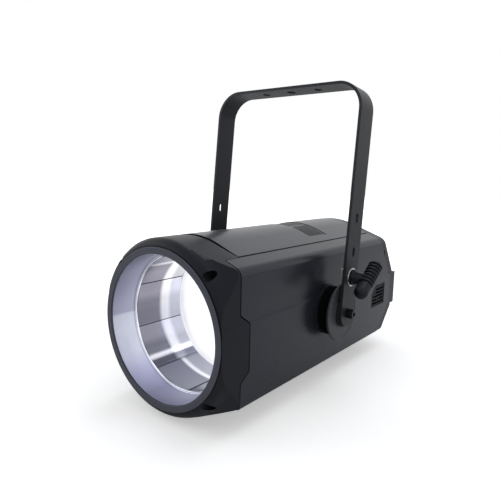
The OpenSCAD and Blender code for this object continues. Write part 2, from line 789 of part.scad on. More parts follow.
module menu_button(i) color("lightgray") in_lamp() translate([i * button_pitch, 0, button_z])
    rod_y(panel_y - button_in, panel_y + panel_t + button_out, button_r);
module button_mode() menu_button(1.5);
module button_up() menu_button(0.5);
module button_down() menu_button(-0.5);
module button_enter() menu_button(-1.5);

// A round chassis socket with its pins, at x on the control panel
module chassis_socket(x, pins) in_lamp() translate([x, 0, panel_z]) {
    mouth = panel_y + panel_t + flange_t;
    difference() {
        union() {
            translate([-flange_side / 2, panel_y + panel_t, -flange_side / 2 - flange_ear])
                cube([flange_side, flange_t, flange_side + 2 * flange_ear]);
            rod_y(mouth - socket_deep - socket_base, mouth, socket_r + socket_wall);
        }
        rod_y(mouth - socket_deep, mouth + 1, socket_r);
        for (k = [-1, 1]) translate([k * (flange_side / 2 - 3), 0, k * (flange_side / 2 - 0.8)])
            rod_y(panel_y, mouth + 1, flange_hole_r);
    }
    for (i = [0:pins - 1]) rotate([0, i * 360 / pins + 90, 0]) translate([socket_r / 2, 0, 0])
        rod_y(mouth - socket_deep - eps, mouth - socket_deep + pin_len, pin_r);
}
module power_inlet() color("royalblue") chassis_socket(power_x[0], 3);
module power_outlet() color("lightgray") chassis_socket(power_x[1], 3);
module data_in() color(black) chassis_socket(data_x[0], 3);
module data_out() color(black) chassis_socket(data_x[1], 5);

module fuse_holder() color(black) in_lamp() translate([fuse_x, 0, display_z]) difference() {
    union() {
        rod_y(panel_y - 12, panel_y + panel_t, fuse_r);
        rod_y(panel_y + panel_t, panel_y + panel_t + flange_t, fuse_flange_r);
    }
    translate([-fuse_r, panel_y + panel_t + flange_t / 2, -0.6]) cube([2 * fuse_r, flange_t, 1.2]);
}

module safety_eye() color("silver") in_lamp() on_upper_rear(0, eye_s) {
    rod_y(-eye_stud_len, eye_flange_t + eye_wire_r, eye_stud_r);
    rod_y(0, eye_flange_t, eye_flange_r);
    mid = eye_hole_r + eye_wire_r;
    translate([0, mid + 2 * eye_flange_t, 0]) rotate([0, 90, 0])
        rotate_extrude() translate([mid, 0]) circle(r = eye_wire_r);
}

// --- Feet ---

module feet_places() for (sx = [-1, 1], y = [foot_y, shell_end - foot_y])
    translate([sx * foot_x, y, -axis_h]) children();

module rubber_feet() color("black") in_lamp() difference() {
    feet_places() cylinder(h = axis_h - sqrt(arch_r * arch_r - (foot_x + foot_r) ^ 2) + 6, r = foot_r);
    along_y(0, 2 * far) case_outline(0);
    feet_places() cylinder(h = 2 * foot_bore_deep, r = foot_r / 2, center = true);
}

// --- Pivot ---

module at_pivot(k) translate([0, pivot_y, pivot_z]) scale([k, 1, 1]) children();

module nut_plates() color("silver") in_lamp() for (k = [-1, 1]) at_pivot(k) difference() {
    translate([band_x - wall - nut_plate_t - 0.05, -nut_plate_side / 2, -nut_plate_side / 2])
        cube([nut_plate_t, nut_plate_side, nut_plate_side]);
    rod_x(0, far, pivot_bolt_r + 0.02);
}

module pivot_drum(k) color(black) in_lamp() at_pivot(k) difference() {
    union() {
        rod_x(band_x, band_x + drum_t - drum_edge, drum_r);
        rod_x(band_x, band_x + drum_t, drum_r - drum_edge);
    }
    rod_x(0, far, pivot_bolt_r + screw_clear);
}
module pivot_drum_left() pivot_drum(-1);
module pivot_drum_right() pivot_drum(1);

module tilt_disc(k) color("dimgray") in_lamp() at_pivot(k) difference() {
    union() {
        rod_x(disc_x, disc_x + disc_t - disc_edge, disc_r);
        rod_x(disc_x, disc_x + disc_t, disc_r - disc_edge);
    }
    rod_x(0, far, pivot_bolt_r + screw_clear);
}
module tilt_disc_left() tilt_disc(-1);
module tilt_disc_right() tilt_disc(1);

module friction_pads() color(black) in_lamp() for (k = [-1, 1]) at_pivot(k) difference() {
    rod_x(pad_x, pad_x + pad_t, pad_r);
    rod_x(0, far, pivot_bolt_r + screw_clear);
}

module pivot_bolts() color(black) in_lamp() for (k = [-1, 1]) at_pivot(k) {
    rod_x(bolt_in, yoke_x + move_gap + eps, pivot_bolt_r);
    difference() {
        rod_x(yoke_x + move_gap, yoke_x + move_gap + pivot_head_h, pivot_head_r);
        translate([yoke_x + move_gap + pivot_head_h - head_hex_deep, 0, 0]) rotate([0, 90, 0])
            cylinder(h = far, r = head_hex_r, $fn = 6);
    }
}

// --- Yoke and its levers ---

// The yoke's own frame: the pivot axis is X and the arms rise along Z
module in_yoke() in_lamp() translate([0, pivot_y, pivot_z]) rotate([-yoke_lean, 0, 0]) children();

module bend_outline(x, z, r) union() {
    translate([-x, -strap_w]) square([2 * x, z - r + strap_w]);
    translate([-x + r, 0]) square([2 * (x - r), z]);
    for (k = [-1, 1]) translate([k * (x - r), z - r]) circle(r = r, $fn = 96);
}

module yoke() color([0.16, 0.16, 0.17]) in_yoke() difference() {
    intersection() {
        along_y(-strap_w / 2, strap_w / 2) difference() {
            bend_outline(yoke_x, yoke_h, bend_r);
            bend_outline(arm_x, yoke_h - strap_t, bend_r - strap_t);
        }
        union() {
            rod_x(-yoke_x - 1, yoke_x + 1, strap_w / 2);
            translate([-yoke_x - 1, -strap_w / 2 - 1, 0]) cube([2 * yoke_x + 2, strap_w + 2, yoke_h + 1]);
        }
    }
    rod_x(-far, far, pivot_bolt_r + run_fit);
    translate([0, 0, lever_h]) rod_x(-far, far, stud_r + run_fit);
    for (h = slot_h) translate([0, 0, h]) {
        for (e = [-1, 1]) translate([0, 0, e * (slot_len - slot_w) / 2]) rod_x(-far, far, slot_w / 2);
        translate([-far, -slot_w / 2, -(slot_len - slot_w) / 2]) cube([2 * far, slot_w, slot_len - slot_w]);
    }
    translate([0, 0, yoke_h - 2 * strap_t]) {
        cylinder(h = 4 * strap_t, r = bar_mid_r);
        for (k = [-1, 1]) translate([k * bar_pitch, 0, 0]) cylinder(h = 4 * strap_t, r = bar_side_r);
    }
}

module at_lever(k) in_yoke() translate([0, 0, lever_h]) scale([k, 1, 1]) children();

module lock_shoes() color("gray") for (k = [-1, 1]) at_lever(k) difference() {
    translate([arm_x - shoe_t, -shoe_w / 2, disc_r + move_gap - lever_h - shoe_under])
        cube([shoe_t, shoe_w, shoe_len]);
    translate([0, 0, -lever_h]) rod_x(0, far, disc_r + move_gap + 0.1);
    rod_x(0, far, stud_r + run_fit);
}

module lever_washers() color("silver") for (k = [-1, 1]) at_lever(k) difference() {
    rod_x(yoke_x, yoke_x + washer_t, washer_r);
    rod_x(0, far, stud_r + move_gap);
}

module lever_stud(k) color("silver") at_lever(k)
    rod_x(arm_x - shoe_t - 1, yoke_x + grip_out - grip_r + 4, stud_r);
module lever_stud_left() lever_stud(-1);
module lever_stud_right() lever_stud(1);

// Half section of the grip: a smooth rounded end and a ribbed length
function grip_profile() = concat([[0, -grip_len / 2]],
    [for (a = [10:16:90]) [(grip_r - 0.2) * sin(a), -grip_len / 2 + 7 * (1 - cos(a))]],
    [for (i = [0:grip_ribs - 1], p = [[rib_deep, 0], [rib_deep, 0.3], [0, 0.42], [0, 0.88], [rib_deep, 1]])
        [grip_r - p[0], grip_len / 2 - grip_end - (grip_ribs - i - p[1]) * rib_pitch]],
    [[grip_r - 2, grip_len / 2 - 2], [grip_r - 5, grip_len / 2], [0, grip_len / 2]]);

module lever_grip(k) color(black) at_lever(k) difference() {
    union() {
        rod_x(yoke_x + washer_t + move_gap, yoke_x + grip_out, hub_r);
        translate([yoke_x + grip_out, 0, 0]) rotate([yoke_lean + grip_deg - 90, 0, 0])
            rotate_extrude() polygon(grip_profile());
    }
    rod_x(0, yoke_x + grip_out - grip_r + 4, stud_r);
}
module lever_grip_left() lever_grip(-1);
module lever_grip_right() lever_grip(1);

front_ring();
front_bezel();
bezel_screws();
front_frame();
shade_liner();
lip_ring();
reflector_barrel();
reflector_cone();
lens();
lens_ring();
bulkhead();
source_cup();
cob_plate();
cob_glow();
heat_sink();
fan_frame();
fan_rotor();
chassis_tray();
led_driver();
body_shell();
top_cover();
top_vent();
side_vent_left();
side_vent_right();
rear_cover();
rear_grille();
rear_screws();
control_panel();
control_board();
display_window();
button_mode();
button_up();
button_down();
button_enter();
power_inlet();
power_outlet();
data_in();
data_out();
fuse_holder();
safety_eye();
rubber_feet();
nut_plates();
pivot_drum_left();
pivot_drum_right();
tilt_disc_left();
tilt_disc_right();
friction_pads();
pivot_bolts();
yoke();
lock_shoes();
lever_washers();
lever_stud_left();
lever_stud_right();
lever_grip_left();
lever_grip_right();
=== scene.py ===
# %% [markdown]
# # A theatre follow spot, dressed over its working frame
# The lantern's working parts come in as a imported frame: a case with a deep mirrored front, a steel yoke,
# two locking levers, a rear panel and rubber feet. Parts whose shape is already right keep it and get
# rounded edges and a finish. Parts that need a finer shape are modelled again, in the same place.

# %% Load the frame and keep its size
import json
import math
import bmesh
import bpy
from mathutils import Matrix, Vector


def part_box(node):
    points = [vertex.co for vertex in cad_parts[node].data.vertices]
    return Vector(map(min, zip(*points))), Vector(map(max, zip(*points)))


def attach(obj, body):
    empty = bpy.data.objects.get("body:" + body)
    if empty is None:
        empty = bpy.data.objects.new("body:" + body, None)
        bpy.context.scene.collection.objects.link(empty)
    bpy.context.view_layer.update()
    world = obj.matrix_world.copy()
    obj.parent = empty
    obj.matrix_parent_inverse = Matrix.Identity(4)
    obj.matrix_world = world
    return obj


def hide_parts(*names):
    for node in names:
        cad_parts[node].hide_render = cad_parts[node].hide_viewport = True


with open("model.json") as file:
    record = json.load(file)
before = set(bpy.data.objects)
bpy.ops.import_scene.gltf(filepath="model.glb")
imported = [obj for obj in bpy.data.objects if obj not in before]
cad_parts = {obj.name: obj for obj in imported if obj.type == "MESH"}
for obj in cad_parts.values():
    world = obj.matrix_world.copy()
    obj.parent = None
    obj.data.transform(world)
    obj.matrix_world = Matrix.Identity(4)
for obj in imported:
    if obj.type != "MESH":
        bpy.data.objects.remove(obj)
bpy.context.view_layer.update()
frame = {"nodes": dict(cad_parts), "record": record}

MM = 0.001

# %% [markdown]
# ## Where things are
# The lamp axis runs along Y and the beam leaves towards -Y. One helper counts millimetres from the
# middle of the front ring's face, in the frame's metres. The yoke leans back a little, so a second one
# counts from the pivot, up along the arms. Places come from the working parts, so the looks stay on them.

# %% Measure the ring, the pivot and the arms
ring_low, ring_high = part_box("front_ring")
ring_middle = Vector(((ring_low.x + ring_high.x) / 2, ring_low.y, (ring_low.z + ring_high.z) / 2))
pivot_low, pivot_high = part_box("tilt_disc_right")
pivot = Vector((0, (pivot_low.y + pivot_high.y) / 2, (pivot_low.z + pivot_high.z) / 2))
shown_nodes = frame["nodes"]
body_of_node = {n: b for b, ns in frame["record"]["behaviour"]["bodies"].items() for n in ns}
bar_axis = Vector(frame["record"]["mounts"][1]["axis"]).normalized()
yoke_lean = math.atan2(bar_axis.y, bar_axis.z)


def lamp(x, y, z):
    """A place counted in mm from the middle of the ring's face, in the frame's metres."""
    return ring_middle + Vector((x, y, z)) * MM


def on_arm(x, y, up):
    """A place counted in mm from the pivot, up along the leaning arms, in the frame's metres."""
    return pivot + Matrix.Rotation(-yoke_lean, 3, "X") @ (Vector((x, y, up)) * MM)


print("ring middle", [round(v, 4) for v in ring_middle], "pivot", [round(v, 4) for v in pivot],
      "lean", round(math.degrees(yoke_lean), 2))

# %% [markdown]
# ## The camera
# The lantern is seen from its front right and a little from above. Three turns say which way the camera
# looks: round the lamp, up, and a slight roll. Its place is counted from the ring's middle in ring radii:
# across and up the picture, and away.

# %% Place the camera
turn, rise, roll = math.radians(38.14), math.radians(8.96), math.radians(1.22)
radii_across, radii_up, radii_away = 1.0985, 0.9558, 5.7506
ring_radius, camera_lens_mm = 0.097, 34.77
back = Vector((math.sin(turn) * math.cos(rise), -math.cos(turn) * math.cos(rise), math.sin(rise)))
side = Vector((math.cos(turn), math.sin(turn), 0))
over = back.cross(side)
across = side * math.cos(roll) + over * math.sin(roll)
upward = over * math.cos(roll) - side * math.sin(roll)
eye = ring_middle + (across * radii_across + upward * radii_up + back * radii_away) * ring_radius
bpy.ops.object.camera_add(location=eye, rotation=Matrix((across, upward, back)).transposed().to_euler())
camera = bpy.context.object
camera.data.lens = camera_lens_mm
camera.data.clip_start, camera.data.clip_end = 0.01, 50
bpy.context.scene.camera = camera
print("camera at", [round(v, 3) for v in camera.location])

# %% [markdown]
# ## Writing finishes as sums
# A finish is a small network of nodes. Written out node by node it is hard to read, so one class
# wraps a socket and lets plus, minus and times add the Math nodes. A second class holds one
# material and adds any other node from its type, its settings and its inputs.

# %% A socket that can be added and multiplied
finishes = {}  # every material by its name


class Value:
    """A number or colour that changes over the surface."""

    def __init__(self, finish, socket):
        self.finish, self.socket = finish, socket

    def maths(self, operation, first, second):
        return self.finish.node("ShaderNodeMath", {"operation": operation}, {0: first, 1: second})

    def __add__(self, other):
        return self.maths("ADD", self, other)

    def __sub__(self, other):
        return self.maths("SUBTRACT", self, other)

    def __rsub__(self, other):
        return self.maths("SUBTRACT", other, self)

    def __mul__(self, other):
        return self.maths("MULTIPLY", self, other)

    def __truediv__(self, other):
        return self.maths("DIVIDE", self, other)


class Finish:
    """One material, built up from its shader."""

    def __init__(self, name, colour, roughness=0.5, metallic=0.0, **constants):
        self.material = finishes[name] = bpy.data.materials.new(name)
        self.material.use_nodes = True
        self.tree = self.material.node_tree
        self.tree.nodes.clear()
        out = self.tree.nodes.new("ShaderNodeOutputMaterial")
        self.shader = self.tree.nodes.new("ShaderNodeBsdfPrincipled")
        self.tree.links.new(self.shader.outputs[0], out.inputs[0])
        self.set("Base Color", (*colour, 1.0))
        self.set("Roughness", roughness)
        self.set("Metallic", metallic)
        for socket, value in constants.items():
            self.set(socket.replace("_", " "), value)
        self.place = self.node("ShaderNodeTexCoord", {}, {}, "Object")

    def set(self, socket, value):
        """Gives one of the shader's own sockets a value or a link."""
        self.link(self.shader.inputs[socket], value)

    def link(self, target, value):
        """Links a value to a socket, or sets the socket to a plain number or colour."""
        if isinstance(value, Value):
            self.tree.links.new(value.socket, target)
        else:
            target.default_value = value

    def node(self, kind, settings, inputs, output=0):
        """Adds a node, sets it up, then fills its inputs."""
        made = self.tree.nodes.new(kind)
        for setting, value in settings.items():
            if setting == "stops":
                ramp = made.color_ramp
                while len(ramp.elements) < len(value):
                    ramp.elements.new(0.5)
                for element, (position, colour) in zip(ramp.elements, value):
                    element.position, element.color = position, colour
            else:
                setattr(made, setting, value)
        for socket, value in inputs.items():
            self.link(made.inputs[socket], value)
        return Value(self, made.outputs[output])

    def noise(self, scale, detail=3.0, roughness=0.55, stretch=(1, 1, 1)):
        """Cloudy noise over the object's own place, from 0 to 1. The scale is in cycles per metre."""
        where = self.node("ShaderNodeMapping", {}, {"Vector": self.place, "Scale": stretch})
        return self.node("ShaderNodeTexNoise", {}, {
            "Vector": where, "Scale": scale, "Detail": detail, "Roughness": roughness})

    def ramp(self, value, low, high, to_low=0.0, to_high=1.0):
        """The value's stretch from low to high, carried over to a new range and held at its ends."""
        return self.node("ShaderNodeMapRange", {"clamp": True}, {
            "Value": value, "From Min": low, "From Max": high, "To Min": to_low, "To Max": to_high})

    def shades(self, value, stops):
        """Rows of (position, red, green, blue), laid over a value from 0 to 1."""
        stops = [(position, (*colour, 1.0)) for position, *colour in stops]
        return self.node("ShaderNodeValToRGB", {"stops": stops}, {"Fac": value})

    def blend(self, share, first, second):
        """A mix of two colours. The Mix node's sockets 6 and 7 take its colours, and output 2 gives one."""
        made = self.tree.nodes.new("ShaderNodeMix")
        made.data_type = "RGBA"
        self.link(made.inputs["Factor"], share)
        for socket, colour in ((6, first), (7, second)):
            self.link(made.inputs[socket], colour if isinstance(colour, Value) else (*colour, 1.0))
        return Value(self, made.outputs[2])

    def axis(self, letter):
        """One of the object's own coordinates, in metres."""
        return self.node("ShaderNodeSeparateXYZ", {}, {0: self.place}, letter)

    def bump(self, height, depth_mm):
        """Raises the surface by the height value times a depth in mm."""
        self.set("Normal", self.node("ShaderNodeBump", {}, {
            "Strength": 1.0, "Distance": depth_mm * MM, "Height": height}))


print("finish tools ready")

# %% [markdown]
# ## Painted and moulded blacks
# Nearly everything outside is black or charcoal, and the differences between its blacks make it look
# real. The case has a fine satin powder coat with a tight orange-peel grain and a slightly uneven sheen.
# The bezel is moulded plastic with a spark-eroded grain. The yoke's powder coat is blacker and coarser.
# One function makes them all, each with its own numbers.

# %% Coated and moulded finishes


def coated(name, colour, roughness, grain, depth_mm, patchy=0.25, **constants):
    """A satin surface with a fine grain and a slightly uneven sheen."""
    finish = Finish(name, colour, roughness, **constants)
    clouds = finish.noise(9.0, 4.0, 0.6)
    fine = finish.noise(grain, 2.0, 0.5)
    dust = finish.ramp(clouds, 0.35, 0.75)
    lighter = tuple(min(1.0, c * 1.22 + 0.003) for c in colour)
    swing = patchy * 0.4
    finish.set("Base Color", finish.blend(dust * 0.6 + fine * 0.4, colour, lighter))
    finish.set("Roughness", finish.ramp(clouds, 0.3, 0.7, roughness * (1 - swing), roughness * (1 + swing)))
    finish.bump(fine, depth_mm)


cool_sheen = (0.78, 0.86, 1.0, 1.0)
painted = {  # colour, roughness, grain in cycles per metre, its depth in mm, patchiness, sheen
    "case_charcoal": ((0.0118, 0.0122, 0.0170), 0.27, 1500, 0.008, 0.10, 0.34),
    "cover_charcoal": ((0.0150, 0.0156, 0.0205), 0.30, 1500, 0.008, 0.10, 0.42),
    "rear_charcoal": ((0.0095, 0.0098, 0.0128), 0.36, 1500, 0.010, 0.10, 0.26),
    "bezel_black": ((0.0090, 0.0092, 0.0122), 0.38, 1900, 0.008, 0.10, 0.14),
    "ring_grey": ((0.052, 0.053, 0.068), 0.40, 1300, 0.010, 0.25, 0.30),
    "yoke_black": ((0.0130, 0.0132, 0.0150), 0.42, 1100, 0.018, 0.25, 0.22),
    "disc_grey": ((0.032, 0.033, 0.036), 0.42, 1300, 0.015, 0.25, 0.30),
    "moulded_black": ((0.0035, 0.0035, 0.0042), 0.45, 1900, 0.015, 0.25, 0.07),
    # The next row is near-black: the drum's own black, darkened further as painted shade for the contact
    # shadow beside it; the cover's seam strips take it as painted shade too.
    "drum_black": ((0.0016, 0.0016, 0.0020), 0.55, 1900, 0.015, 0.25, 0.03),
    "grip_black": ((0.0040, 0.0040, 0.0050), 0.38, 2400, 0.015, 0.25, 0.24),
    "vent_black": ((0.0055, 0.0055, 0.0065), 0.50, 1900, 0.015, 0.25, 0.12),
}
for name, (*look, sheen) in painted.items():
    coated(name, *look, Specular_IOR_Level=sheen, Specular_Tint=cool_sheen)
coated("black_oxide", (0.006, 0.006, 0.007), 0.30, 2200, 0.008, Metallic=0.2, Specular_IOR_Level=0.3)
coated("rubber_black", (0.008, 0.008, 0.008), 0.75, 900, 0.05, Specular_IOR_Level=0.2)
coated("ceramic", (0.75, 0.73, 0.68), 0.4, 900, 0.02)
coated("board_green", (0.01, 0.10, 0.04), 0.35, 500, 0.03)
coated("button_grey", (0.22, 0.225, 0.235), 0.6, 1600, 0.02)
coated("socket_blue", (0.01, 0.05, 0.35), 0.35, 1600, 0.01)
coated("socket_white", (0.42, 0.42, 0.43), 0.35, 1600, 0.01)
print(len(finishes), "coated finishes")

# %% [markdown]
# ## Bare metals
# The small hardware is zinc-plated steel, the parts inside raw aluminium, the lip polished sheet. Metal
# takes its character from tiny lines left by the tool, so each gets a noise, stretched along the tool's
# path where there is one, that drives both roughness and bump.

# %% Bare metal finishes


def bare_metal(name, colour, roughness, stretch, scale, depth_mm, **constants):
    """Bare metal whose fine lines run where the stretch is small."""
    finish = Finish(name, colour, roughness, 1.0, **constants)
    lines = finish.noise(scale, 3.0, 0.6, stretch)
    clouds = finish.noise(14.0, 3.0, 0.5)
    darker = tuple(c * 0.86 for c in colour)
    finish.set("Base Color", finish.blend(clouds * 0.5 + lines * 0.5, darker, colour))
    uneven = lines * 0.6 + clouds * 0.4
    finish.set("Roughness", finish.ramp(uneven, 0.3, 0.7, roughness * 0.7, roughness * 1.3))
    finish.bump(lines, depth_mm)


bare_metal("zinc_steel", (0.62, 0.63, 0.65), 0.28, (1, 1, 1), 900, 0.006)
bare_metal("raw_aluminium", (0.60, 0.61, 0.62), 0.35, (1, 0.05, 1), 900, 0.008)
# The polished sheet also glows a little: a painted glow for the light it catches from the source.
bare_metal("polished_sheet_painted_glow", (0.86, 0.88, 0.94), 0.16, (1, 1, 1), 300, 0.002,
           Emission_Color=(0.90, 0.93, 1.0, 1.0), Emission_Strength=0.22)
print("metals added,", len(finishes), "in all")

# %% [markdown]
# ## Glass and light
# The lens is clear glass with the lit source behind it. From the front one sees only a white glow, so
# the lens glows a little and the polished cone more the deeper it lies. The barrel's colour is painted
# with the reflections in its dark and light sheets and a hot streak along a fold, and a glowing band is
# painted where the beam's edge is mirrored. They are laid out by the angle round the lamp and the depth
# behind the ring, and only the inner sides glow.

# %% Angle, depth and side of a reflector


def around(finish):
    """The angle round the lamp axis, from 0 at the right over the top, in turns from -0.5 to 0.5."""
    x = finish.axis("X") - ring_middle.x
    z = finish.axis("Z") - ring_middle.z
    return finish.node("ShaderNodeMath", {"operation": "ARCTAN2"}, {0: z, 1: x}) / math.tau


def depth_mm(finish):
    """The depth behind the ring's face in millimetres."""
    return (finish.axis("Y") - ring_middle.y) / MM


def facing_in(finish):
    """1 on faces that look at the lamp axis and 0 on the outer side of the sheet."""
    normal = finish.node("ShaderNodeTexCoord", {}, {}, "Normal")
    outward = [finish.node("ShaderNodeSeparateXYZ", {}, {0: normal}, letter) * (finish.axis(letter) - middle)
               for letter, middle in (("X", ring_middle.x), ("Z", ring_middle.z))]
    return finish.ramp(outward[0] + outward[1], -0.030, -0.010, 1.0, 0.0)


print("reflector tools ready")

# %% The liner's satin sheet, painted with light and shade
liner = Finish("satin_aluminium", (0.6, 0.6, 0.7), 0.36, 1.0)
turn_share = liner.ramp(around(liner), -0.5, 0.5)
lines = liner.noise(260, 3.0, 0.6, (0.15, 4.0, 0.15))
clouds = liner.noise(18, 4.0, 0.6)
# Painted light and shade round the axis: bright over the lower left, starting with a sharp step at the left,
# dark at the bottom, mid-tone over the right and the top.
painted_light_round_axis = liner.shades(turn_share, [
    (0.0, 0.52, 0.52, 0.66), (0.005, 0.86, 0.9, 0.98), (0.1, 0.82, 0.86, 0.98), (0.15, 0.55, 0.57, 0.8),
    (0.21, 0.34, 0.35, 0.52), (0.3, 0.62, 0.63, 0.78), (0.8, 0.5, 0.5, 0.62), (1.0, 0.52, 0.52, 0.66)])
liner.set("Base Color", liner.blend(clouds * 0.35 + lines * 0.25, painted_light_round_axis, (0.40, 0.40, 0.50)))
liner.set("Roughness", liner.ramp(lines * 0.7 + clouds * 0.3, 0.3, 0.7, 0.28, 0.44))
liner.bump(lines, 0.006)
print("liner ready")

# %% The barrel's painted reflections and beam glow
barrel = Finish("mirror_aluminium", (0.4, 0.4, 0.45), 0.2, 1.0)
brush = barrel.noise(300, 3.0, 0.6, (1.0, 0.05, 1.0))
clouds = barrel.noise(26, 4.0, 0.6)
along = depth_mm(barrel)
turn_share = barrel.ramp(around(barrel), -0.5, 0.5)
# Painted reflections round the barrel: dark and light sheets, with thin bright stops as painted highlights
# along folds.
painted_reflections = barrel.shades(turn_share, [
    (0.0, 0.15, 0.148, 0.178), (0.04, 0.14, 0.138, 0.168), (0.044, 0.24, 0.236, 0.28),
    (0.078, 0.23, 0.227, 0.27), (0.095, 0.13, 0.132, 0.165), (0.118, 0.15, 0.15, 0.185),
    (0.125, 0.9, 0.9, 0.94), (0.132, 0.7, 0.7, 0.75), (0.135, 0.045, 0.046, 0.066),
    (0.15, 0.04, 0.042, 0.062), (0.156, 0.13, 0.134, 0.18), (0.2, 0.17, 0.175, 0.222),
    (0.25, 0.2, 0.206, 0.25), (0.3, 0.2, 0.206, 0.25), (0.34, 0.3, 0.295, 0.34),
    (0.857, 0.28, 0.275, 0.32), (0.864, 0.9, 0.89, 0.94), (0.872, 0.2, 0.196, 0.232),
    (0.9, 0.3, 0.29, 0.335), (0.93, 0.26, 0.25, 0.3), (0.965, 0.285, 0.275, 0.325),
    (0.985, 0.165, 0.162, 0.195)])
barrel.set("Base Color", barrel.blend(clouds * 0.20 + brush * 0.24, painted_reflections, (0.24, 0.237, 0.28)))
barrel.set("Roughness", barrel.ramp(brush * 0.6 + clouds * 0.4, 0.3, 0.7, 0.10, 0.20))
# The glowing band is painted light: the beam's edge as mirrored in the barrel, set brighter and dimmer round
# it, on the inner sides only.
beam_shades = barrel.shades(turn_share, [
    (0.0, 0.78, 0.78, 0.8), (0.044, 0.6, 0.6, 0.63), (0.078, 0.72, 0.72, 0.74), (0.108, 0.85, 0.85, 0.84),
    (0.128, 1.0, 1.0, 0.98), (0.137, 0.3, 0.3, 0.34), (0.155, 0.42, 0.43, 0.48), (0.165, 0.85, 0.86, 0.9),
    (0.22, 0.95, 0.96, 1.0), (0.3, 1.0, 1.0, 1.0), (0.9, 0.98, 0.98, 0.9), (0.955, 0.95, 0.95, 0.88),
    (0.985, 0.78, 0.78, 0.76)])
low_sheet = barrel.ramp(turn_share, 0.150, 0.158) * barrel.ramp(turn_share, 0.40, 0.41, 1.0, 0.0)
wide_beam = barrel.ramp(along, 75.0, 81.0) * barrel.ramp(along, 90.0, 97.0, 1.0, 0.42)
thin_beam = barrel.ramp(along, 80.0, 84.0) * barrel.ramp(along, 86.0, 91.0, 1.0, 0.24)
painted_beam_band = (wide_beam * (1 - low_sheet) + thin_beam * low_sheet) * facing_in(barrel)
barrel.set("Emission Color", barrel.blend(painted_beam_band, (0.0, 0.0, 0.0), beam_shades))
barrel.set("Emission Strength", 0.72)
barrel.bump(brush, 0.004)
print("barrel ready")

# %% The cone's glow
cone = Finish("cone_mirror", (0.8, 0.8, 0.84), 0.2, 1.0)
brush = cone.noise(260, 3.0, 0.6, (1.0, 0.05, 1.0))
lit = cone.ramp(depth_mm(cone) + cone.noise(22.0, 3.0) * 14.0, 117.0, 134.0)
cone.set("Base Color", cone.blend(brush, (0.28, 0.28, 0.32), (0.33, 0.33, 0.37)))
cone.set("Roughness", cone.ramp(brush, 0.3, 0.7, 0.16, 0.22))
lit_sheet = cone.blend(lit, (0.42, 0.42, 0.445), (1.0, 1.0, 1.0))
cone.set("Emission Color", cone.blend(facing_in(cone), (0.0, 0.0, 0.0), lit_sheet))
cone.set("Emission Strength", 0.85)
print("cone ready")

# %% Glass, glow and display
glass = Finish("lens_glass", (0.97, 0.98, 1.0), 0.03, 0.0, IOR=1.5, Transmission_Weight=1.0)
smear = glass.noise(30.0, 4.0, 0.6)
glass.set("Roughness", glass.ramp(smear, 0.4, 0.8, 0.02, 0.08))
glass.set("Emission Color", (0.93, 0.96, 1.0, 1.0))
glass.set("Emission Strength", 0.35)

glow = Finish("led_glow", (1.0, 0.95, 0.85), 0.6)
dots = glow.node("ShaderNodeTexVoronoi", {"feature": "F1"}, {
    "Vector": glow.place, "Scale": 380.0, "Randomness": 0.15})
glow.set("Emission Color", glow.blend(glow.ramp(dots, 0.2, 0.6), (1.0, 0.99, 0.97), (1.0, 0.93, 0.80)))
glow.set("Emission Strength", 1.5)

display = Finish("display_glass", (0.003, 0.006, 0.010), 0.08, 0.0, Specular_IOR_Level=0.30)
haze = display.noise(60.0, 3.0)
display.set("Roughness", display.ramp(haze, 0.3, 0.8, 0.06, 0.14))
print("glass and glow ready")

# %% [markdown]
# ## Working by hand
# Every piece below starts from a primitive or from a copy of its working part and is then shaped in edit
# mode. The helpers keep the steps readable. One selects faces by their place or direction, and one
# finishes a piece: its place goes into its mesh, it shades sharply only at sharp edges, and it rides on
# its body.

# %% Helpers for modelling


def leave_edit():
    """Goes back to object mode."""
    bpy.ops.object.mode_set(mode="OBJECT")


def select_all():
    """Selects the whole mesh in edit mode."""
    bpy.ops.mesh.select_all(action="SELECT")


def clear_selection():
    """Leaves edit mode and selects nothing."""
    if bpy.context.object and bpy.context.object.mode != "OBJECT":
        leave_edit()
    bpy.ops.object.select_all(action="DESELECT")


def only(piece):
    """Selects one piece alone."""
    clear_selection()
    piece.select_set(True)
    bpy.context.view_layer.objects.active = piece


def edit(piece):
    """Opens a piece in edit mode."""
    only(piece)
    bpy.ops.object.mode_set(mode="EDIT")


def pick(kind, test):
    """Selects the faces, edges or verts for which the test of place and direction holds."""
    mesh = bmesh.from_edit_mesh(bpy.context.object.data)
    bpy.ops.mesh.select_all(action="DESELECT")
    bpy.context.tool_settings.mesh_select_mode = (kind == "verts", kind == "edges", kind == "faces")
    count = 0
    for part in getattr(mesh, kind):
        if kind == "faces":
            at, facing = part.calc_center_median(), part.normal
        elif kind == "edges":
            start, end = (corner.co for corner in part.verts)
            at, facing = (start + end) / 2, (end - start).normalized()
        else:
            at, facing = part.co, part.normal
        if test(at, facing):
            part.select_set(True)
            count += 1
    mesh.select_flush_mode()
    bmesh.update_edit_mesh(bpy.context.object.data)
    return count


def modify(piece, kind, **settings):
    """Adds a modifier with these settings and applies it."""
    only(piece)
    added = piece.modifiers.new(kind.title(), kind)
    for name, value in settings.items():
        setattr(added, name, value)
    bpy.ops.object.modifier_apply(modifier=added.name)


def round_edges(piece, width_mm, segments=2, angle=35):
    """Rounds every edge that is sharper than the angle."""
    modify(piece, "BEVEL", width=width_mm * MM, segments=segments, limit_method="ANGLE",
           angle_limit=math.radians(angle))


def settle_place(piece):
    """Moves the piece's place, turn and size into its mesh."""
    only(piece)
    bpy.ops.object.transform_apply(location=True, rotation=True, scale=True)


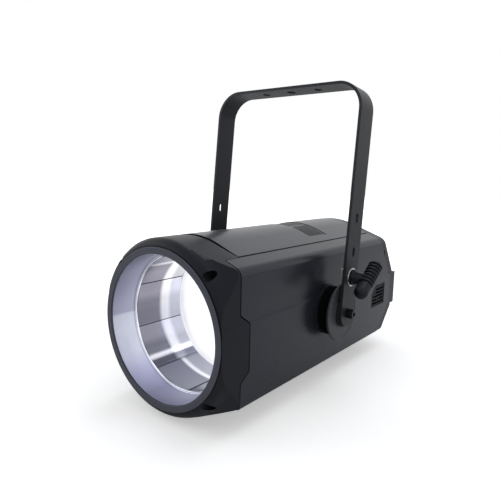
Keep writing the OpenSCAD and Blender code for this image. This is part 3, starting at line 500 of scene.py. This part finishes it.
def done(piece, name, body, finish, stands_for=(), angle=35):
    """Settles a piece: place in its mesh, shading, finish, body and what it stands for."""
    settle_place(piece)
    bpy.ops.object.shade_smooth_by_angle(angle=math.radians(angle))
    modify(piece, "WEIGHTED_NORMAL", mode="FACE_AREA", weight=80, keep_sharp=True)
    piece.name = piece.data.name = name
    piece.data.materials.clear()
    piece.data.materials.append(finishes[finish])
    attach(piece, body)
    if stands_for:
        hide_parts(*stands_for)
    print(f"{name}: {len(piece.data.polygons)} faces")


def merged_copy(node):
    """A copy of a working part with its loose triangles merged and its flat areas made whole."""
    clear_selection()
    piece = shown_nodes[node].copy()
    piece.data = shown_nodes[node].data.copy()
    piece.parent = None
    for key in list(piece.keys()):
        if key.startswith("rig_"):
            del piece[key]
    bpy.context.scene.collection.objects.link(piece)
    edit(piece)
    select_all()
    bpy.ops.mesh.remove_doubles(threshold=0.000002)
    bpy.ops.mesh.dissolve_limited(angle_limit=math.radians(0.4))
    leave_edit()
    return piece


def dress(node, finish, width_mm):
    """A merged copy of a working part with rounded edges and a finish."""
    piece = merged_copy(node)
    if width_mm:
        round_edges(piece, width_mm)
    done(piece, node + "_finished", body_of_node[node], finish, [node], angle=32)


def start_point(place):
    """A single corner, ready to be drawn out: a tiny plane merged to its middle."""
    clear_selection()
    bpy.ops.mesh.primitive_plane_add(size=MM, location=place)
    piece = bpy.context.object
    edit(piece)
    bpy.ops.mesh.select_mode(type="VERT")
    select_all()
    bpy.ops.mesh.merge(type="CENTER")
    return piece


def push(step):
    """Extrudes what is selected by a step in metres."""
    bpy.ops.mesh.extrude_region_move(TRANSFORM_OT_translate={"value": tuple(step)})


def settle(threshold_mm=0.02):
    """Closes seams and poles, turns the faces outwards and leaves edit mode."""
    select_all()
    bpy.ops.mesh.remove_doubles(threshold=threshold_mm * MM)
    bpy.ops.mesh.normals_make_consistent(inside=False)
    leave_edit()


def turned(profile, centre, along, out, closed=True, steps=96):
    """A lathe part: a corner is drawn out along (radius, depth) points in mm and spun round its axis.

    A closed profile goes round a hollow part; an open one runs from the axis back to it.
    """
    places = [centre + (Vector(out) * radius + Vector(along) * depth) * MM for radius, depth in profile]
    piece = start_point(places[0])
    stops = places[1:] + places[:1] if closed else places[1:]
    here = places[0]
    for place in stops:
        push(place - here)
        here = place
    select_all()
    bpy.ops.mesh.spin(steps=steps, angle=math.tau, center=centre, axis=along)
    settle()
    return piece


def arc(middle_r, middle_d, radius, start_deg, end_deg, count):
    """Points of a profile on a round stretch, from one angle to another."""
    turns = [math.radians(start_deg + (end_deg - start_deg) * i / count) for i in range(count + 1)]
    return [(middle_r + radius * math.cos(t), middle_d + radius * math.sin(t)) for t in turns]


def block(low, high):
    """A box between two corners in metres, the start of a shaped piece."""
    clear_selection()
    low, high = Vector(low), Vector(high)
    bpy.ops.mesh.primitive_cube_add(size=1, location=(low + high) / 2)
    piece = bpy.context.object
    piece.scale = high - low
    settle_place(piece)
    return piece


def drill(place, radius_mm, length_mm, along, sides=40):
    """A round cutter through a place."""
    clear_selection()
    bpy.ops.mesh.primitive_cylinder_add(vertices=sides, radius=radius_mm * MM, depth=length_mm * MM,
                                        location=place, rotation=along.to_track_quat("Z", "Y").to_euler())
    cutter = bpy.context.object
    settle_place(cutter)
    return cutter


def combine(piece, other, operation="DIFFERENCE"):
    """Cuts the other piece out of the first, or joins it on."""
    modify(piece, "BOOLEAN", object=other, operation=operation, solver="EXACT")
    bpy.data.objects.remove(other)


def join(pieces):
    """Makes one piece of several that keep their own surfaces."""
    clear_selection()
    for piece in pieces:
        piece.select_set(True)
    bpy.context.view_layer.objects.active = pieces[0]
    bpy.ops.object.join()
    return bpy.context.object


def copy_of(piece, move):
    """A copy with its own mesh, moved by a matrix."""
    settle_place(piece)
    bpy.ops.object.duplicate()
    twin = bpy.context.object
    twin.data.transform(move)
    if move.determinant() < 0:
        edit(twin)
        select_all()
        bpy.ops.mesh.flip_normals()
        leave_edit()
    return twin


MIRROR_X = Matrix.Scale(-1, 4, (1, 0, 0))
X, Y, Z = Vector((1, 0, 0)), Vector((0, 1, 0)), Vector((0, 0, 1))


def both_sides(piece, name, finish, node, angle):
    """Finishes a piece for the right side and its mirror copy for the left."""
    for hand, made in (("_right", piece), ("_left", copy_of(piece, MIRROR_X))):
        done(made, name + hand, body_of_node[node + hand], finish, [node + hand], angle=angle)


print("modelling tools ready")

# %% [markdown]
# ## The case
# The body, the covers and the front bezel are mouldings with thin walls. Their shape is settled in the
# working parts, so each is copied, its triangles are merged into whole faces, and a small bevel rounds
# its edges, because a moulding has no knife edge. What the eye reads as a separate lid is the dark line
# round it, so the cover is trimmed, and thin near-black slices of its own section lie in the gap as painted
# shade.

# %% Trim the cover and lay near-black strips in its seam as painted shade
front_trim, side_trim, strip_inset, strip_side_inset = 1.0, 1.6, 0.3, 0.2  # mm
moulding_round = 0.6
cover_low, cover_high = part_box("top_cover")


def trim(piece, place, outward):
    """Cuts off what lies beyond a plane and closes the cut."""
    edit(piece)
    select_all()
    bpy.ops.mesh.bisect(plane_co=place, plane_no=outward, use_fill=True, clear_outer=True)
    leave_edit()


def cover_edge(hand, inset):
    """A place in the plane that lies an inset in mm inside the cover's right or left edge."""
    return Vector((hand * (cover_high.x - inset * MM), 0, 0))


def cover_front(inset):
    """A place in the plane that lies an inset in mm behind the cover's front edge."""
    return Vector((0, cover_low.y + inset * MM, 0))


top_cover, front_strip, *side_strips = [merged_copy("top_cover") for _ in range(4)]
for hand in (1, -1):
    trim(top_cover, cover_edge(hand, side_trim), hand * X)
trim(top_cover, cover_front(front_trim), -Y)
round_edges(top_cover, moulding_round)
done(top_cover, "top_cover_moulded", "head", "cover_charcoal", ["top_cover"])

trim(front_strip, cover_front(front_trim), Y)
for strip, hand in zip(side_strips, (1, -1)):
    trim(strip, cover_edge(hand, side_trim), -hand * X)
strips = [front_strip, *side_strips]
for strip in strips:
    trim(strip, cover_front(strip_inset), -Y)
    for hand in (1, -1):
        trim(strip, cover_edge(hand, strip_side_inset), hand * X)
# The near-black strips in the seam are painted shade that makes the gap read as a dark line.
done(join(strips), "cover_seam_shade_strips", "head", "drum_black")

# %% Draw the shell's front edge back
shell_reach, shell_side = 30.0, 60.0  # mm: how far back and how far out the front edge's faces lie
body_shell = merged_copy("body_shell")
shell_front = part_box("body_shell")[0].y
edit(body_shell)
drawn_back = pick("faces", lambda at, facing: facing.y < -0.5 and at.y < shell_front + shell_reach * MM
                  and abs(at.x) > shell_side * MM)
bpy.ops.transform.translate(value=(0, front_trim * MM, 0))
leave_edit()
round_edges(body_shell, moulding_round)
done(body_shell, "body_shell_moulded", "head", "case_charcoal", ["body_shell"])
dress("rear_cover", "rear_charcoal", moulding_round)
print("front edge faces drawn back:", drawn_back)

# %% [markdown]
# ## The bezel's rear edge
# The bezel dips a little before it meets the cover, so the cover's front edge stands over it and
# shows as a dark curve across the roof. The dip is made with a loop cut a few millimetres before the edge,
# after which only the edge's outer corners go down.

# %% Dip the bezel's rear edge
dip_long, dip_deep, seam_gap = 8.0, 1.4, 0.6  # mm
bezel = merged_copy("front_bezel")
bezel_rear = cover_low.y - seam_gap * MM
edit(bezel)
select_all()
bpy.ops.mesh.bisect(plane_co=(0, bezel_rear - dip_long * MM, 0), plane_no=Y)
lowered = pick("verts", lambda at, facing: abs(at.y - bezel_rear) < 0.1 * MM and facing.z > 0.3
               and abs(at.x) < cover_edge(1, 1.0).x)
bpy.ops.transform.translate(value=(0, 0, -dip_deep * MM))
leave_edit()
round_edges(bezel, moulding_round)
done(bezel, "front_bezel_moulded", "head", "bezel_black", ["front_bezel"], angle=32)
print("corners lowered along the edge:", lowered)

# %% [markdown]
# ## The front ring
# The ring is turned aluminium, painted dark grey. Its flat face has a fine score line and covers the
# liner's edge, and an undercut behind the face leaves a dark line between ring and bezel. All of that is
# one profile, and as on a lathe it is drawn once and spun: here by a corner that is extruded along it.

# %% Turn the front ring
ring_profile = [(88.9, 2.6), (88.9, 0.5), (89.4, 0.0), (93.5, 0.0), (93.7, 0.2), (94.0, 0.2), (94.2, 0.0),
                (96.1, 0.0), (96.8, 0.3), (97.0, 0.9), (96.6, 1.1), (95.6, 1.2), (95.4, 1.9), (92.3, 1.9),
                (92.3, 11.0), (90.2, 11.0), (90.2, 2.6)]
ring = turned(ring_profile, ring_middle, Y, X, steps=144)
done(ring, "front_ring_turned", "head", "ring_grey", ["front_ring"], angle=25)

# %% [markdown]
# ## The liner and its lip
# Behind the ring sits a liner rolled from satin aluminium sheet, painted with light and shade round
# the axis, with a sharp step at the left. At its back a narrow bright lip holds the polished barrel.
# It shows two bright lines with a dark one between, so its profile has two small beads, and a black ring
# lies in the groove between them as painted shade.

# %% Turn the liner and the lip
liner_profile = [(88.75, 2.8), (90.0, 2.8), (88.6, 36.9), (87.4, 36.9), (87.5, 34.0)]
rolled_liner = turned(liner_profile, ring_middle, Y, X, steps=144)
done(rolled_liner, "shade_liner_rolled", "head", "satin_aluminium", ["shade_liner"], angle=25)

groove_in, groove_out = 85.95, 86.6
lip_profile = [(88.6, 38.7), (88.6, 37.0), *arc(87.05, 37.3, 0.4, 0, -180, 6), (groove_out, 38.2),
               (groove_in, 38.2), *arc(85.5, 37.3, 0.45, 0, -180, 6), (85.05, 38.7)]
lip = turned(lip_profile, ring_middle, Y, X, steps=144)
done(lip, "lip_ring_beaded", "head", "polished_sheet_painted_glow", ["lip_ring"], angle=40)
# A black ring filling the groove between the beads is painted shade that makes the groove read dark.
groove_shade_profile = [(groove_in, 37.45), (groove_out, 37.45), (groove_out, 38.1), (groove_in, 38.1)]
groove_shade = turned(groove_shade_profile, ring_middle, Y, X, steps=144)
done(groove_shade, "lip_groove_shade_ring", "head", "moulded_black")

# %% [markdown]
# ## The panelled barrel
# The barrel is made of nine polished sheets, each rolled flatter than the circle they stand on, with one
# long edge folded inwards, so the light breaks at each seam. One panel is drawn as a line of corners,
# extruded along the lamp, given its thickness by Solidify and copied round the axis. A tube with lines
# painted on it would reflect as one smooth ring.

# %% Roll one panel and copy it round
panel_count, panel_edge_r, panel_flatter_r = 9, 86.0, 118.0
panel_thick, fold, seam_open = 0.7, 1.3, 0.006  # mm, mm, radians
first_seam = math.radians(-4.5)
panel_half = math.pi / panel_count - seam_open
barrel_front, barrel_back = 38.8, 113.4
across_steps = 12


def panel_line():
    """The panel seen along the lamp, as (x, z) in mm round the axis, starting at its folded edge."""
    half_width = panel_edge_r * math.sin(panel_half)
    middle = panel_edge_r * math.cos(panel_half) - math.sqrt(panel_flatter_r ** 2 - half_width ** 2)
    reach = math.asin(half_width / panel_flatter_r)
    line = [((panel_edge_r - fold) * math.cos(panel_half), -(panel_edge_r - fold) * math.sin(panel_half))]
    for i in range(across_steps + 1):
        turn_at = -reach + 2 * reach * i / across_steps
        line.append((middle + panel_flatter_r * math.cos(turn_at), panel_flatter_r * math.sin(turn_at)))
    return line


places = [lamp(x, barrel_front, z) for x, z in panel_line()]
panel = start_point(places[0])
for here, place in zip(places, places[1:]):
    push(place - here)
select_all()
push(Y * (barrel_back - barrel_front) * MM)
leave_edit()
modify(panel, "SOLIDIFY", thickness=panel_thick * MM, offset=1.0)
panels = []
for i in range(panel_count):
    angle = first_seam + math.tau * (i + 0.5) / panel_count
    swing = Matrix.Rotation(-angle, 4, "Y")
    panels.append(copy_of(panel, Matrix.Translation(ring_middle) @ swing @ Matrix.Translation(-ring_middle)))
bpy.data.objects.remove(panel)
panelled = join(panels)
edit(panelled)
settle(0.001)
done(panelled, "reflector_barrel_panels", "head", "mirror_aluminium", ["reflector_barrel"], angle=20)

# %% [markdown]
# ## The cone and the lens
# The cone carries the light from the lens to the barrel. Its front edge is rolled over, and a
# shallow bead stiffens the sheet. The lens is flat behind and domed in front, and its dome is an arc
# whose radius follows from its width and its bulge.

# %% Turn the cone and the lens
cone_front, cone_back, cone_front_r, lens_radius = 113.6, 185.4, 85.0, 58.0
sheet_thick, bead_high = 1.1, 0.5
slope = (lens_radius - cone_front_r) / (cone_back - cone_front)


def on_cone(depth, out=0.0):
    """A profile point on the cone's inner side, or an amount outside it."""
    return (cone_front_r + slope * (depth - cone_front) + out, depth)


rolled, bead = cone_front + 0.8, cone_front + 16.0
cone_profile = [on_cone(cone_front), on_cone(rolled, -bead_high), on_cone(rolled + 1.0, -bead_high),
                on_cone(rolled + 2.0), on_cone(bead), on_cone(bead + 0.8, -bead_high), on_cone(bead + 1.6),
                on_cone(cone_back), on_cone(cone_back, sheet_thick), on_cone(cone_front, sheet_thick)]
spun_cone = turned(cone_profile, ring_middle, Y, X, steps=144)
done(spun_cone, "reflector_cone_spun", "head", "cone_mirror", ["reflector_cone"], angle=20)

lens_front, lens_bulge, lens_rim = 175.7, 9.9, 4.0
dome_r = (lens_radius ** 2 + lens_bulge ** 2) / (2 * lens_bulge)
dome_reach = math.degrees(math.asin(lens_radius / dome_r))
lens_back = lens_front + lens_bulge + lens_rim
dome = arc(0, lens_front + dome_r, dome_r, -90, -90 + dome_reach, 14)
dome[0] = (0.0, lens_front)
lens = turned([*dome, (lens_radius, lens_back), (0.0, lens_back)], ring_middle, Y, X, closed=False)
done(lens, "lens_polished", "head", "lens_glass", ["lens"], angle=40)

# %% [markdown]
# ## The yoke
# The yoke is one steel strap, bent twice. Each end face of a short flat bar is swung round the bend
# with Spin and pulled down as the arm. The corner edges of each arm's end are bevelled by half the
# strap's width, which leaves a round end. Then the holes are drilled and the edges eased.

# %% Bend the strap
strap_half, strap_thick, bend_outer, bend_steps = 18.0, 4.0, 38.0, 14
yoke_top, yoke_out = 311.0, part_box("yoke")[1].x / MM
bend_x, bend_z = yoke_out - bend_outer, yoke_top - bend_outer
yoke = block(Vector((-bend_x, -strap_half, yoke_top - strap_thick)) * MM,
             Vector((bend_x, strap_half, yoke_top)) * MM)
for hand in (1, -1):
    edit(yoke)
    pick("faces", lambda at, facing: facing.x * hand > 0.9 and at.x * hand > 0)
    bpy.ops.mesh.spin(steps=bend_steps, angle=-hand * math.pi / 2,
                      center=(hand * bend_x * MM, 0, bend_z * MM), axis=Y)
    pick("faces", lambda at, facing: facing.z < -0.9 and abs(at.z - bend_z * MM) < 0.1 * MM
         and at.x * hand > 0)
    push((0, 0, -(bend_z + strap_half) * MM))
    pick("edges", lambda at, run: at.z < -(strap_half - 0.1) * MM and abs(run.x) > 0.9 and at.x * hand > 0)
    bpy.ops.mesh.bevel(offset=(strap_half - 0.02) * MM, segments=16, affect="EDGES")
edit(yoke)
settle()
print("strap bent:", len(yoke.data.vertices), "corners")

# %% Drill it and ease its edges
lever_up, shaft_hole_r = 50.0, 4.05
slot_ups, slot_long, slot_wide = (84.0, 130.0), 13.0, 6.4
bar_holes = {0.0: 6.5, 45.5: 5.5, -45.5: 5.5}  # place along the bar: radius
through_arms, through_bar = 300, 20
for up in (0.0, lever_up):
    combine(yoke, drill((0, 0, up * MM), shaft_hole_r, through_arms, X))
for up in slot_ups:
    slot_low = (up - (slot_long - slot_wide) / 2) * MM
    slot = drill((0, 0, slot_low), slot_wide / 2, through_arms, X)
    edit(slot)
    pick("verts", lambda at, facing: at.z > slot_low - 1e-6)
    bpy.ops.transform.translate(value=(0, 0, (slot_long - slot_wide) * MM))
    leave_edit()
    combine(yoke, slot)
for across_bar, radius in bar_holes.items():
    combine(yoke, drill((across_bar * MM, 0, yoke_top * MM), radius, through_bar, Z))
round_edges(yoke, 0.7, segments=3, angle=40)
yoke.location = pivot
yoke.rotation_euler = (-yoke_lean, 0, 0)
done(yoke, "yoke_strap", "yoke", "yoke_black", ["yoke"], angle=30)

# %% [markdown]
# ## Drums, tilt discs and cap screws
# Each arm turns on a socket-head screw against a rubber pad, a painted disc and a black drum. They are
# lathe parts with their axis across the lamp. The drum has grooves, the disc a raised rim and hub. The
# screw's head is knurled: every second face round it is pulled out a little. Its socket has six sides.

# %% Turn the drum, the disc and the pad


def ends(node):
    """The first and last depth of a working part along X, in mm."""
    low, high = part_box(node)
    return low.x / MM, high.x / MM


hub_line = Vector((0, pivot.y, pivot.z))
bore_r, drum_r, drum_groove_r, groove_count, groove_pitch = 4.6, 34.0, 32.4, 3, 4.6
drum_start, drum_end = ends("pivot_drum_right")
drum_profile = [(bore_r, drum_start), (33.4, drum_start)]
for groove in range(groove_count):
    start = drum_start + 2.0 + groove * groove_pitch
    drum_profile += [(drum_r, start), (drum_r, start + 2.4), (drum_groove_r, start + 2.9),
                     (drum_groove_r, start + 4.1)]
drum_profile += [(drum_r, drum_end - 0.8), (33.0, drum_end), (bore_r, drum_end)]
drum = turned(drum_profile, hub_line, X, Z, steps=80)
# The drum's near-black finish is partly its own colour and partly painted shade for the contact shadow
# beside it.
both_sides(drum, "pivot_drum_ribbed", "drum_black", "pivot_drum", 30)

disc_r, disc_round, rim_sunk = 40.0, 0.7, 0.5
disc_start, disc_end = ends("tilt_disc_right")
disc_profile = [(bore_r, disc_start), (disc_r - disc_round, disc_start), (disc_r, disc_start + disc_round),
                (disc_r, disc_end - disc_round), (disc_r - disc_round, disc_end), (37.2, disc_end),
                (36.8, disc_end - rim_sunk), (22.0, disc_end - rim_sunk), (21.6, disc_end),
                (bore_r, disc_end)]
disc = turned(disc_profile, hub_line, X, Z)
both_sides(disc, "tilt_disc_turned", "disc_grey", "tilt_disc", 25)

pad_end = disc_end + 3.0
pad_profile = [(bore_r, disc_end), (19.6, disc_end), (20.0, disc_end + 0.5), (20.0, pad_end - 0.5),
               (19.5, pad_end), (bore_r, pad_end)]
pad = turned(pad_profile, hub_line, X, Z, steps=64)
done(join([pad, copy_of(pad, MIRROR_X)]), "friction_pads_moulded", "head", "rubber_black", ["friction_pads"])

# %% Knurl the pivot screws
head_start, head_end, head_r, shank_r, shank_start = yoke_out + 0.3, ends("pivot_bolts")[1], 6.5, 4.0, 84.6
knurl_in, knurl_deg = 0.25, 6.0
screw = turned([(0.0, shank_start), (shank_r - 0.5, shank_start), (shank_r, shank_start + 0.6),
                (shank_r, head_start), (head_r - knurl_in, head_start), (head_r - knurl_in, head_end - 1.6),
                (head_r - 0.3, head_end - 0.5), (head_r - 1.0, head_end), (0.0, head_end)],
               hub_line, X, Z, closed=False, steps=60)
settle_place(screw)
edit(screw)


def on_knurl(at, facing):
    """True for every second face round the side of the screw's head."""
    step = math.degrees(math.atan2(at.z - pivot.z, at.y - pivot.y)) % 360 / knurl_deg
    on_side = (head_start + 1) * MM < at.x < (head_end - 1.7) * MM and abs(facing.x) < 0.1
    return on_side and int(step) % 2 == 0


print("knurled faces:", pick("faces", on_knurl))
bpy.ops.mesh.inset(thickness=0.06 * MM, depth=0.22 * MM, use_individual=True)
leave_edit()
combine(screw, drill((head_end * MM, pivot.y, pivot.z), 3.4, 10.6, X, sides=6))
done(join([screw, copy_of(screw, MIRROR_X)]), "pivot_cap_screws", "head", "black_oxide", ["pivot_bolts"],
     angle=30)

# %% [markdown]
# ## The locking levers
# Each lever is a moulded T: a hub on the stud, and a grip with ribs and a smooth round end. Both are
# turned profiles. The ribs have rounded crests, because square ones would read as a stack of washers.
# Hub and grip are merged by a Boolean, because on the real lever they are one moulding.

# %% Turn the grip, its hub and the washer
grip_half, grip_r, rib_count, rib_pitch, rib_deep, grip_offset = 31.0, 9.8, 7, 5.49, 2.0, 25.0
grip_tilt = math.radians(36.0)
grip_centre = on_arm(yoke_out + grip_offset, 0, lever_up)
stud_line = Vector((0, grip_centre.y, grip_centre.z))
grip_axis = Vector((0, math.cos(grip_tilt), math.sin(grip_tilt)))
grip_out = Vector((0, -math.sin(grip_tilt), math.cos(grip_tilt)))
ribs_end = grip_half - 3.0
grip_profile = [(0.0, -grip_half), *arc(grip_r - 7.2, -grip_half + 7.0, 7.0, -84, 0, 7),
                (grip_r, -grip_half + 9.0), (grip_r, ribs_end - rib_count * rib_pitch - 1.6)]
for rib in range(rib_count):
    start = ribs_end - (rib_count - rib) * rib_pitch
    grip_profile += [(grip_r - rib_deep, start), (grip_r - rib_deep, start + 1.5),
                     (grip_r - 0.5, start + 2.0), (grip_r, start + 2.8), (grip_r, start + 3.9),
                     (grip_r - 0.5, start + 4.7)]
grip_profile += [(grip_r - rib_deep, ribs_end + 0.1), (grip_r - 2.2, grip_half - 1.4),
                 (grip_r - 4.4, grip_half - 0.2), (0.0, grip_half)]
grip = turned(grip_profile, grip_centre, grip_axis, grip_out, closed=False, steps=64)
hub_start, hub_end = yoke_out + 2.3, yoke_out + grip_offset
hub_profile = [(0.0, hub_start), (10.2, hub_start), (10.8, hub_start + 0.6), (10.8, hub_start + 2.6),
               (9.4, hub_start + 3.6), (8.8, hub_start + 8), (8.2, hub_start + 13), (8.6, hub_end),
               (0.0, hub_end)]
hub = turned(hub_profile, stud_line, X, Z, closed=False, steps=48)
combine(grip, hub, "UNION")
both_sides(grip, "lever_grip_moulded", "grip_black", "lever_grip", 40)

washer_end = yoke_out + 2.0
washer_profile = [(4.4, yoke_out), (12.0, yoke_out), (12.5, yoke_out + 0.4), (12.5, washer_end - 0.4),
                  (12.0, washer_end), (4.8, washer_end), (4.4, washer_end - 0.4)]
washer = turned(washer_profile, stud_line, X, Z, steps=64)
done(join([washer, copy_of(washer, MIRROR_X)]), "lever_washers_turned", "yoke", "zinc_steel",
     ["lever_washers"])

# %% [markdown]
# ## Screws, keys and the display window
# The bezel is held by socket-head screws in deep recesses. One is turned, given its six-sided socket and
# copied to the four places. The menu keys are moulded rubber with a rounded rim and a slightly dished
# top, so they are turned as well. The display window is a clear sheet with a raised rim: a block whose
# outer face is inset and pushed in.

# %% Turn one bezel screw and copy it


def islands(node):
    """The boxes of a working part's separate solids, as pairs of corners."""
    mesh = bmesh.new()
    mesh.from_mesh(shown_nodes[node].data)
    bmesh.ops.remove_doubles(mesh, verts=mesh.verts, dist=0.002 * MM)
    left, boxes = set(mesh.verts), []
    while left:
        group, to_visit = set(), [left.pop()]
        while to_visit:
            corner = to_visit.pop()
            group.add(corner)
            beside = {e.other_vert(corner) for e in corner.link_edges} & left
            left -= beside
            to_visit += beside
        boxes.append([Vector(end(c.co[i] for c in group) for i in range(3)) for end in (min, max)])
    mesh.free()
    return boxes


cap_r, cap_high, cap_shank_r = 4.2, 4.0, 2.1
screw_boxes = islands("bezel_screws")
screw_long = (screw_boxes[0][1].y - screw_boxes[0][0].y) / MM
cap = turned([(0.0, -screw_long), (cap_shank_r - 0.4, -screw_long), (cap_shank_r, -screw_long + 0.5),
              (cap_shank_r, -cap_high), (cap_r, -cap_high), (cap_r, -0.5), (cap_r - 0.5, 0.0), (0.0, 0.0)],
             Vector((0, 0, 0)), Z, X, closed=False, steps=40)
combine(cap, drill((0, 0, 0), 2.0, 4.4, Z, sides=6))
caps = []
for low, high in screw_boxes:
    place = Vector(((low.x + high.x) / 2, low.y, (low.z + high.z) / 2))
    caps.append(copy_of(cap, Matrix.Translation(place) @ Matrix.Rotation(math.pi / 2, 4, "X")))
bpy.data.objects.remove(cap)
done(join(caps), "bezel_cap_screws", "head", "black_oxide", ["bezel_screws"], angle=30)

# %% Turn one key and copy it
key_low, key_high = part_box("button_mode")
key_middle, key_size, key_round = (key_low + key_high) / 2, (key_high - key_low) / MM, 1.4
key_r, key_long = key_size.x / 2, key_size.y
key_base = Vector((key_middle.x, key_low.y, key_middle.z))
key = turned([(0.0, 0.0), (key_r, 0.0), (key_r, key_long - key_round),
              *arc(key_r - key_round, key_long - key_round, key_round, 15, 75, 4),
              (key_r - 2.0, key_long - 0.1), (0.0, key_long - 0.35)], key_base, Y, X, closed=False, steps=48)
for name in ("mode", "up", "down", "enter"):
    low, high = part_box("button_" + name)
    twin = copy_of(key, Matrix.Translation((low + high) / 2 - key_middle))
    done(twin, "key_" + name, name + "_button", "button_grey", ["button_" + name], angle=40)
bpy.data.objects.remove(key)

# %% Cut the display window
window = block(*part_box("display_window"))
edit(window)
pick("faces", lambda at, facing: facing.y > 0.9)
bpy.ops.mesh.inset(thickness=1.6 * MM, depth=0)
bpy.ops.mesh.inset(thickness=0.3 * MM, depth=-0.5 * MM)
leave_edit()
round_edges(window, 0.2)
done(window, "display_window_cut", "head", "display_glass", ["display_window"])

# %% [markdown]
# ## Everything else
# The parts inside and the small fittings have their right shape already. They keep it and get a finish,
# and most get rounded edges. A width of zero leaves the edges as they are.

# %% Dress the remaining parts
plain = {  # working part: its finish and the width of its rounding in mm
    "front_frame": ("black_oxide", 0), "lens_ring": ("black_oxide", 0.3), "bulkhead": ("zinc_steel", 0),
    "source_cup": ("polished_sheet_painted_glow", 0), "cob_plate": ("ceramic", 0.2), "cob_glow": ("led_glow", 0),
    "heat_sink": ("raw_aluminium", 0.2), "fan_frame": ("moulded_black", 0.3),
    "fan_rotor": ("moulded_black", 0.2), "chassis_tray": ("zinc_steel", 0.2),
    "led_driver": ("raw_aluminium", 0.4), "top_vent": ("cover_charcoal", 0.2),
    "side_vent_left": ("vent_black", 0.2), "side_vent_right": ("vent_black", 0.2),
    "rear_grille": ("vent_black", 0.2), "rear_screws": ("black_oxide", 0.15),
    "control_panel": ("moulded_black", 0.3), "control_board": ("board_green", 0),
    "power_inlet": ("socket_blue", 0.3), "power_outlet": ("socket_white", 0.3),
    "data_in": ("moulded_black", 0.3), "data_out": ("moulded_black", 0.3),
    "fuse_holder": ("moulded_black", 0.3), "safety_eye": ("zinc_steel", 0),
    "rubber_feet": ("rubber_black", 0.5), "nut_plates": ("zinc_steel", 0.2),
    "lock_shoes": ("raw_aluminium", 0.3), "lever_stud_left": ("zinc_steel", 0.3),
    "lever_stud_right": ("zinc_steel", 0.3),
}
for node, (finish, width) in plain.items():
    dress(node, finish, width)

# %% [markdown]
# ## Light and floor
# A plain pale floor and soft lamps show the object as it would look anywhere. The background is white
# to the camera, in reflections and through the glass, and dimmer as a light, so that the blacks keep
# their depth. The floor glows for the camera only, less near the lantern, where its shadow falls.

# %% Floor, world and lamps


def softbox(name, place, aim, width, height, power):
    """A rectangular soft lamp that looks at a point, slightly cooler than white."""
    bpy.ops.object.light_add(type="AREA", location=place)
    box = bpy.context.object
    box.name = name
    box.data.shape = "RECTANGLE"
    box.data.size, box.data.size_y = width, height
    box.data.energy = power
    box.data.color = (0.93, 0.965, 1.0)
    box.rotation_euler = (Vector(aim) - Vector(place)).to_track_quat("-Z", "Y").to_euler()


clear_selection()
world = bpy.data.worlds.new("studio")
bpy.context.scene.world = world
world.use_nodes = True
tree = world.node_tree
tree.nodes.clear()
out, mix, rays = [tree.nodes.new("ShaderNode" + kind) for kind in ("OutputWorld", "MixShader", "LightPath")]
looked_at = rays.outputs["Is Camera Ray"]
for kind in ("Is Glossy Ray", "Is Transmission Ray"):
    either = tree.nodes.new("ShaderNodeMath")
    either.operation = "MAXIMUM"
    tree.links.new(looked_at, either.inputs[0])
    tree.links.new(rays.outputs[kind], either.inputs[1])
    looked_at = either.outputs[0]
tree.links.new(looked_at, mix.inputs[0])
for socket, level in ((1, 0.55), (2, 1.0)):
    background = tree.nodes.new("ShaderNodeBackground")
    background.inputs["Color"].default_value = (1, 1, 1, 1)
    background.inputs["Strength"].default_value = level
    tree.links.new(background.outputs[0], mix.inputs[socket])
tree.links.new(mix.outputs[0], out.inputs[0])

bpy.ops.mesh.primitive_plane_add(size=12, location=(0, 0, -0.0004))
floor = bpy.context.object
floor.name = "studio_floor"
pale = Finish("studio_floor", (0.92, 0.92, 0.92), 0.9, Specular_IOR_Level=0.0, Emission_Color=(1, 1, 1, 1))
seen = pale.node("ShaderNodeLightPath", {}, {}, "Is Camera Ray")
away = pale.node("ShaderNodeVectorMath", {"operation": "LENGTH"}, {0: pale.place}, "Value")
pale.set("Emission Strength", seen * pale.ramp(away, 0.35, 1.6, 0.40, 1.0))
floor.data.materials.append(pale.material)

softbox("top_softbox", (0.1, 0.5, 1.5), (0, 0.1, 0.2), 1.6, 1.0, 7.5)
softbox("right_softbox", (1.4, -1.1, 0.45), (0, -0.2, 0.1), 0.5, 0.8, 1.3)
softbox("left_softbox", (-1.2, -1.0, 0.9), (0, 0, 0.15), 1.0, 0.9, 4.0)
bpy.context.scene.view_settings.view_transform = "Standard"
print("studio ready")
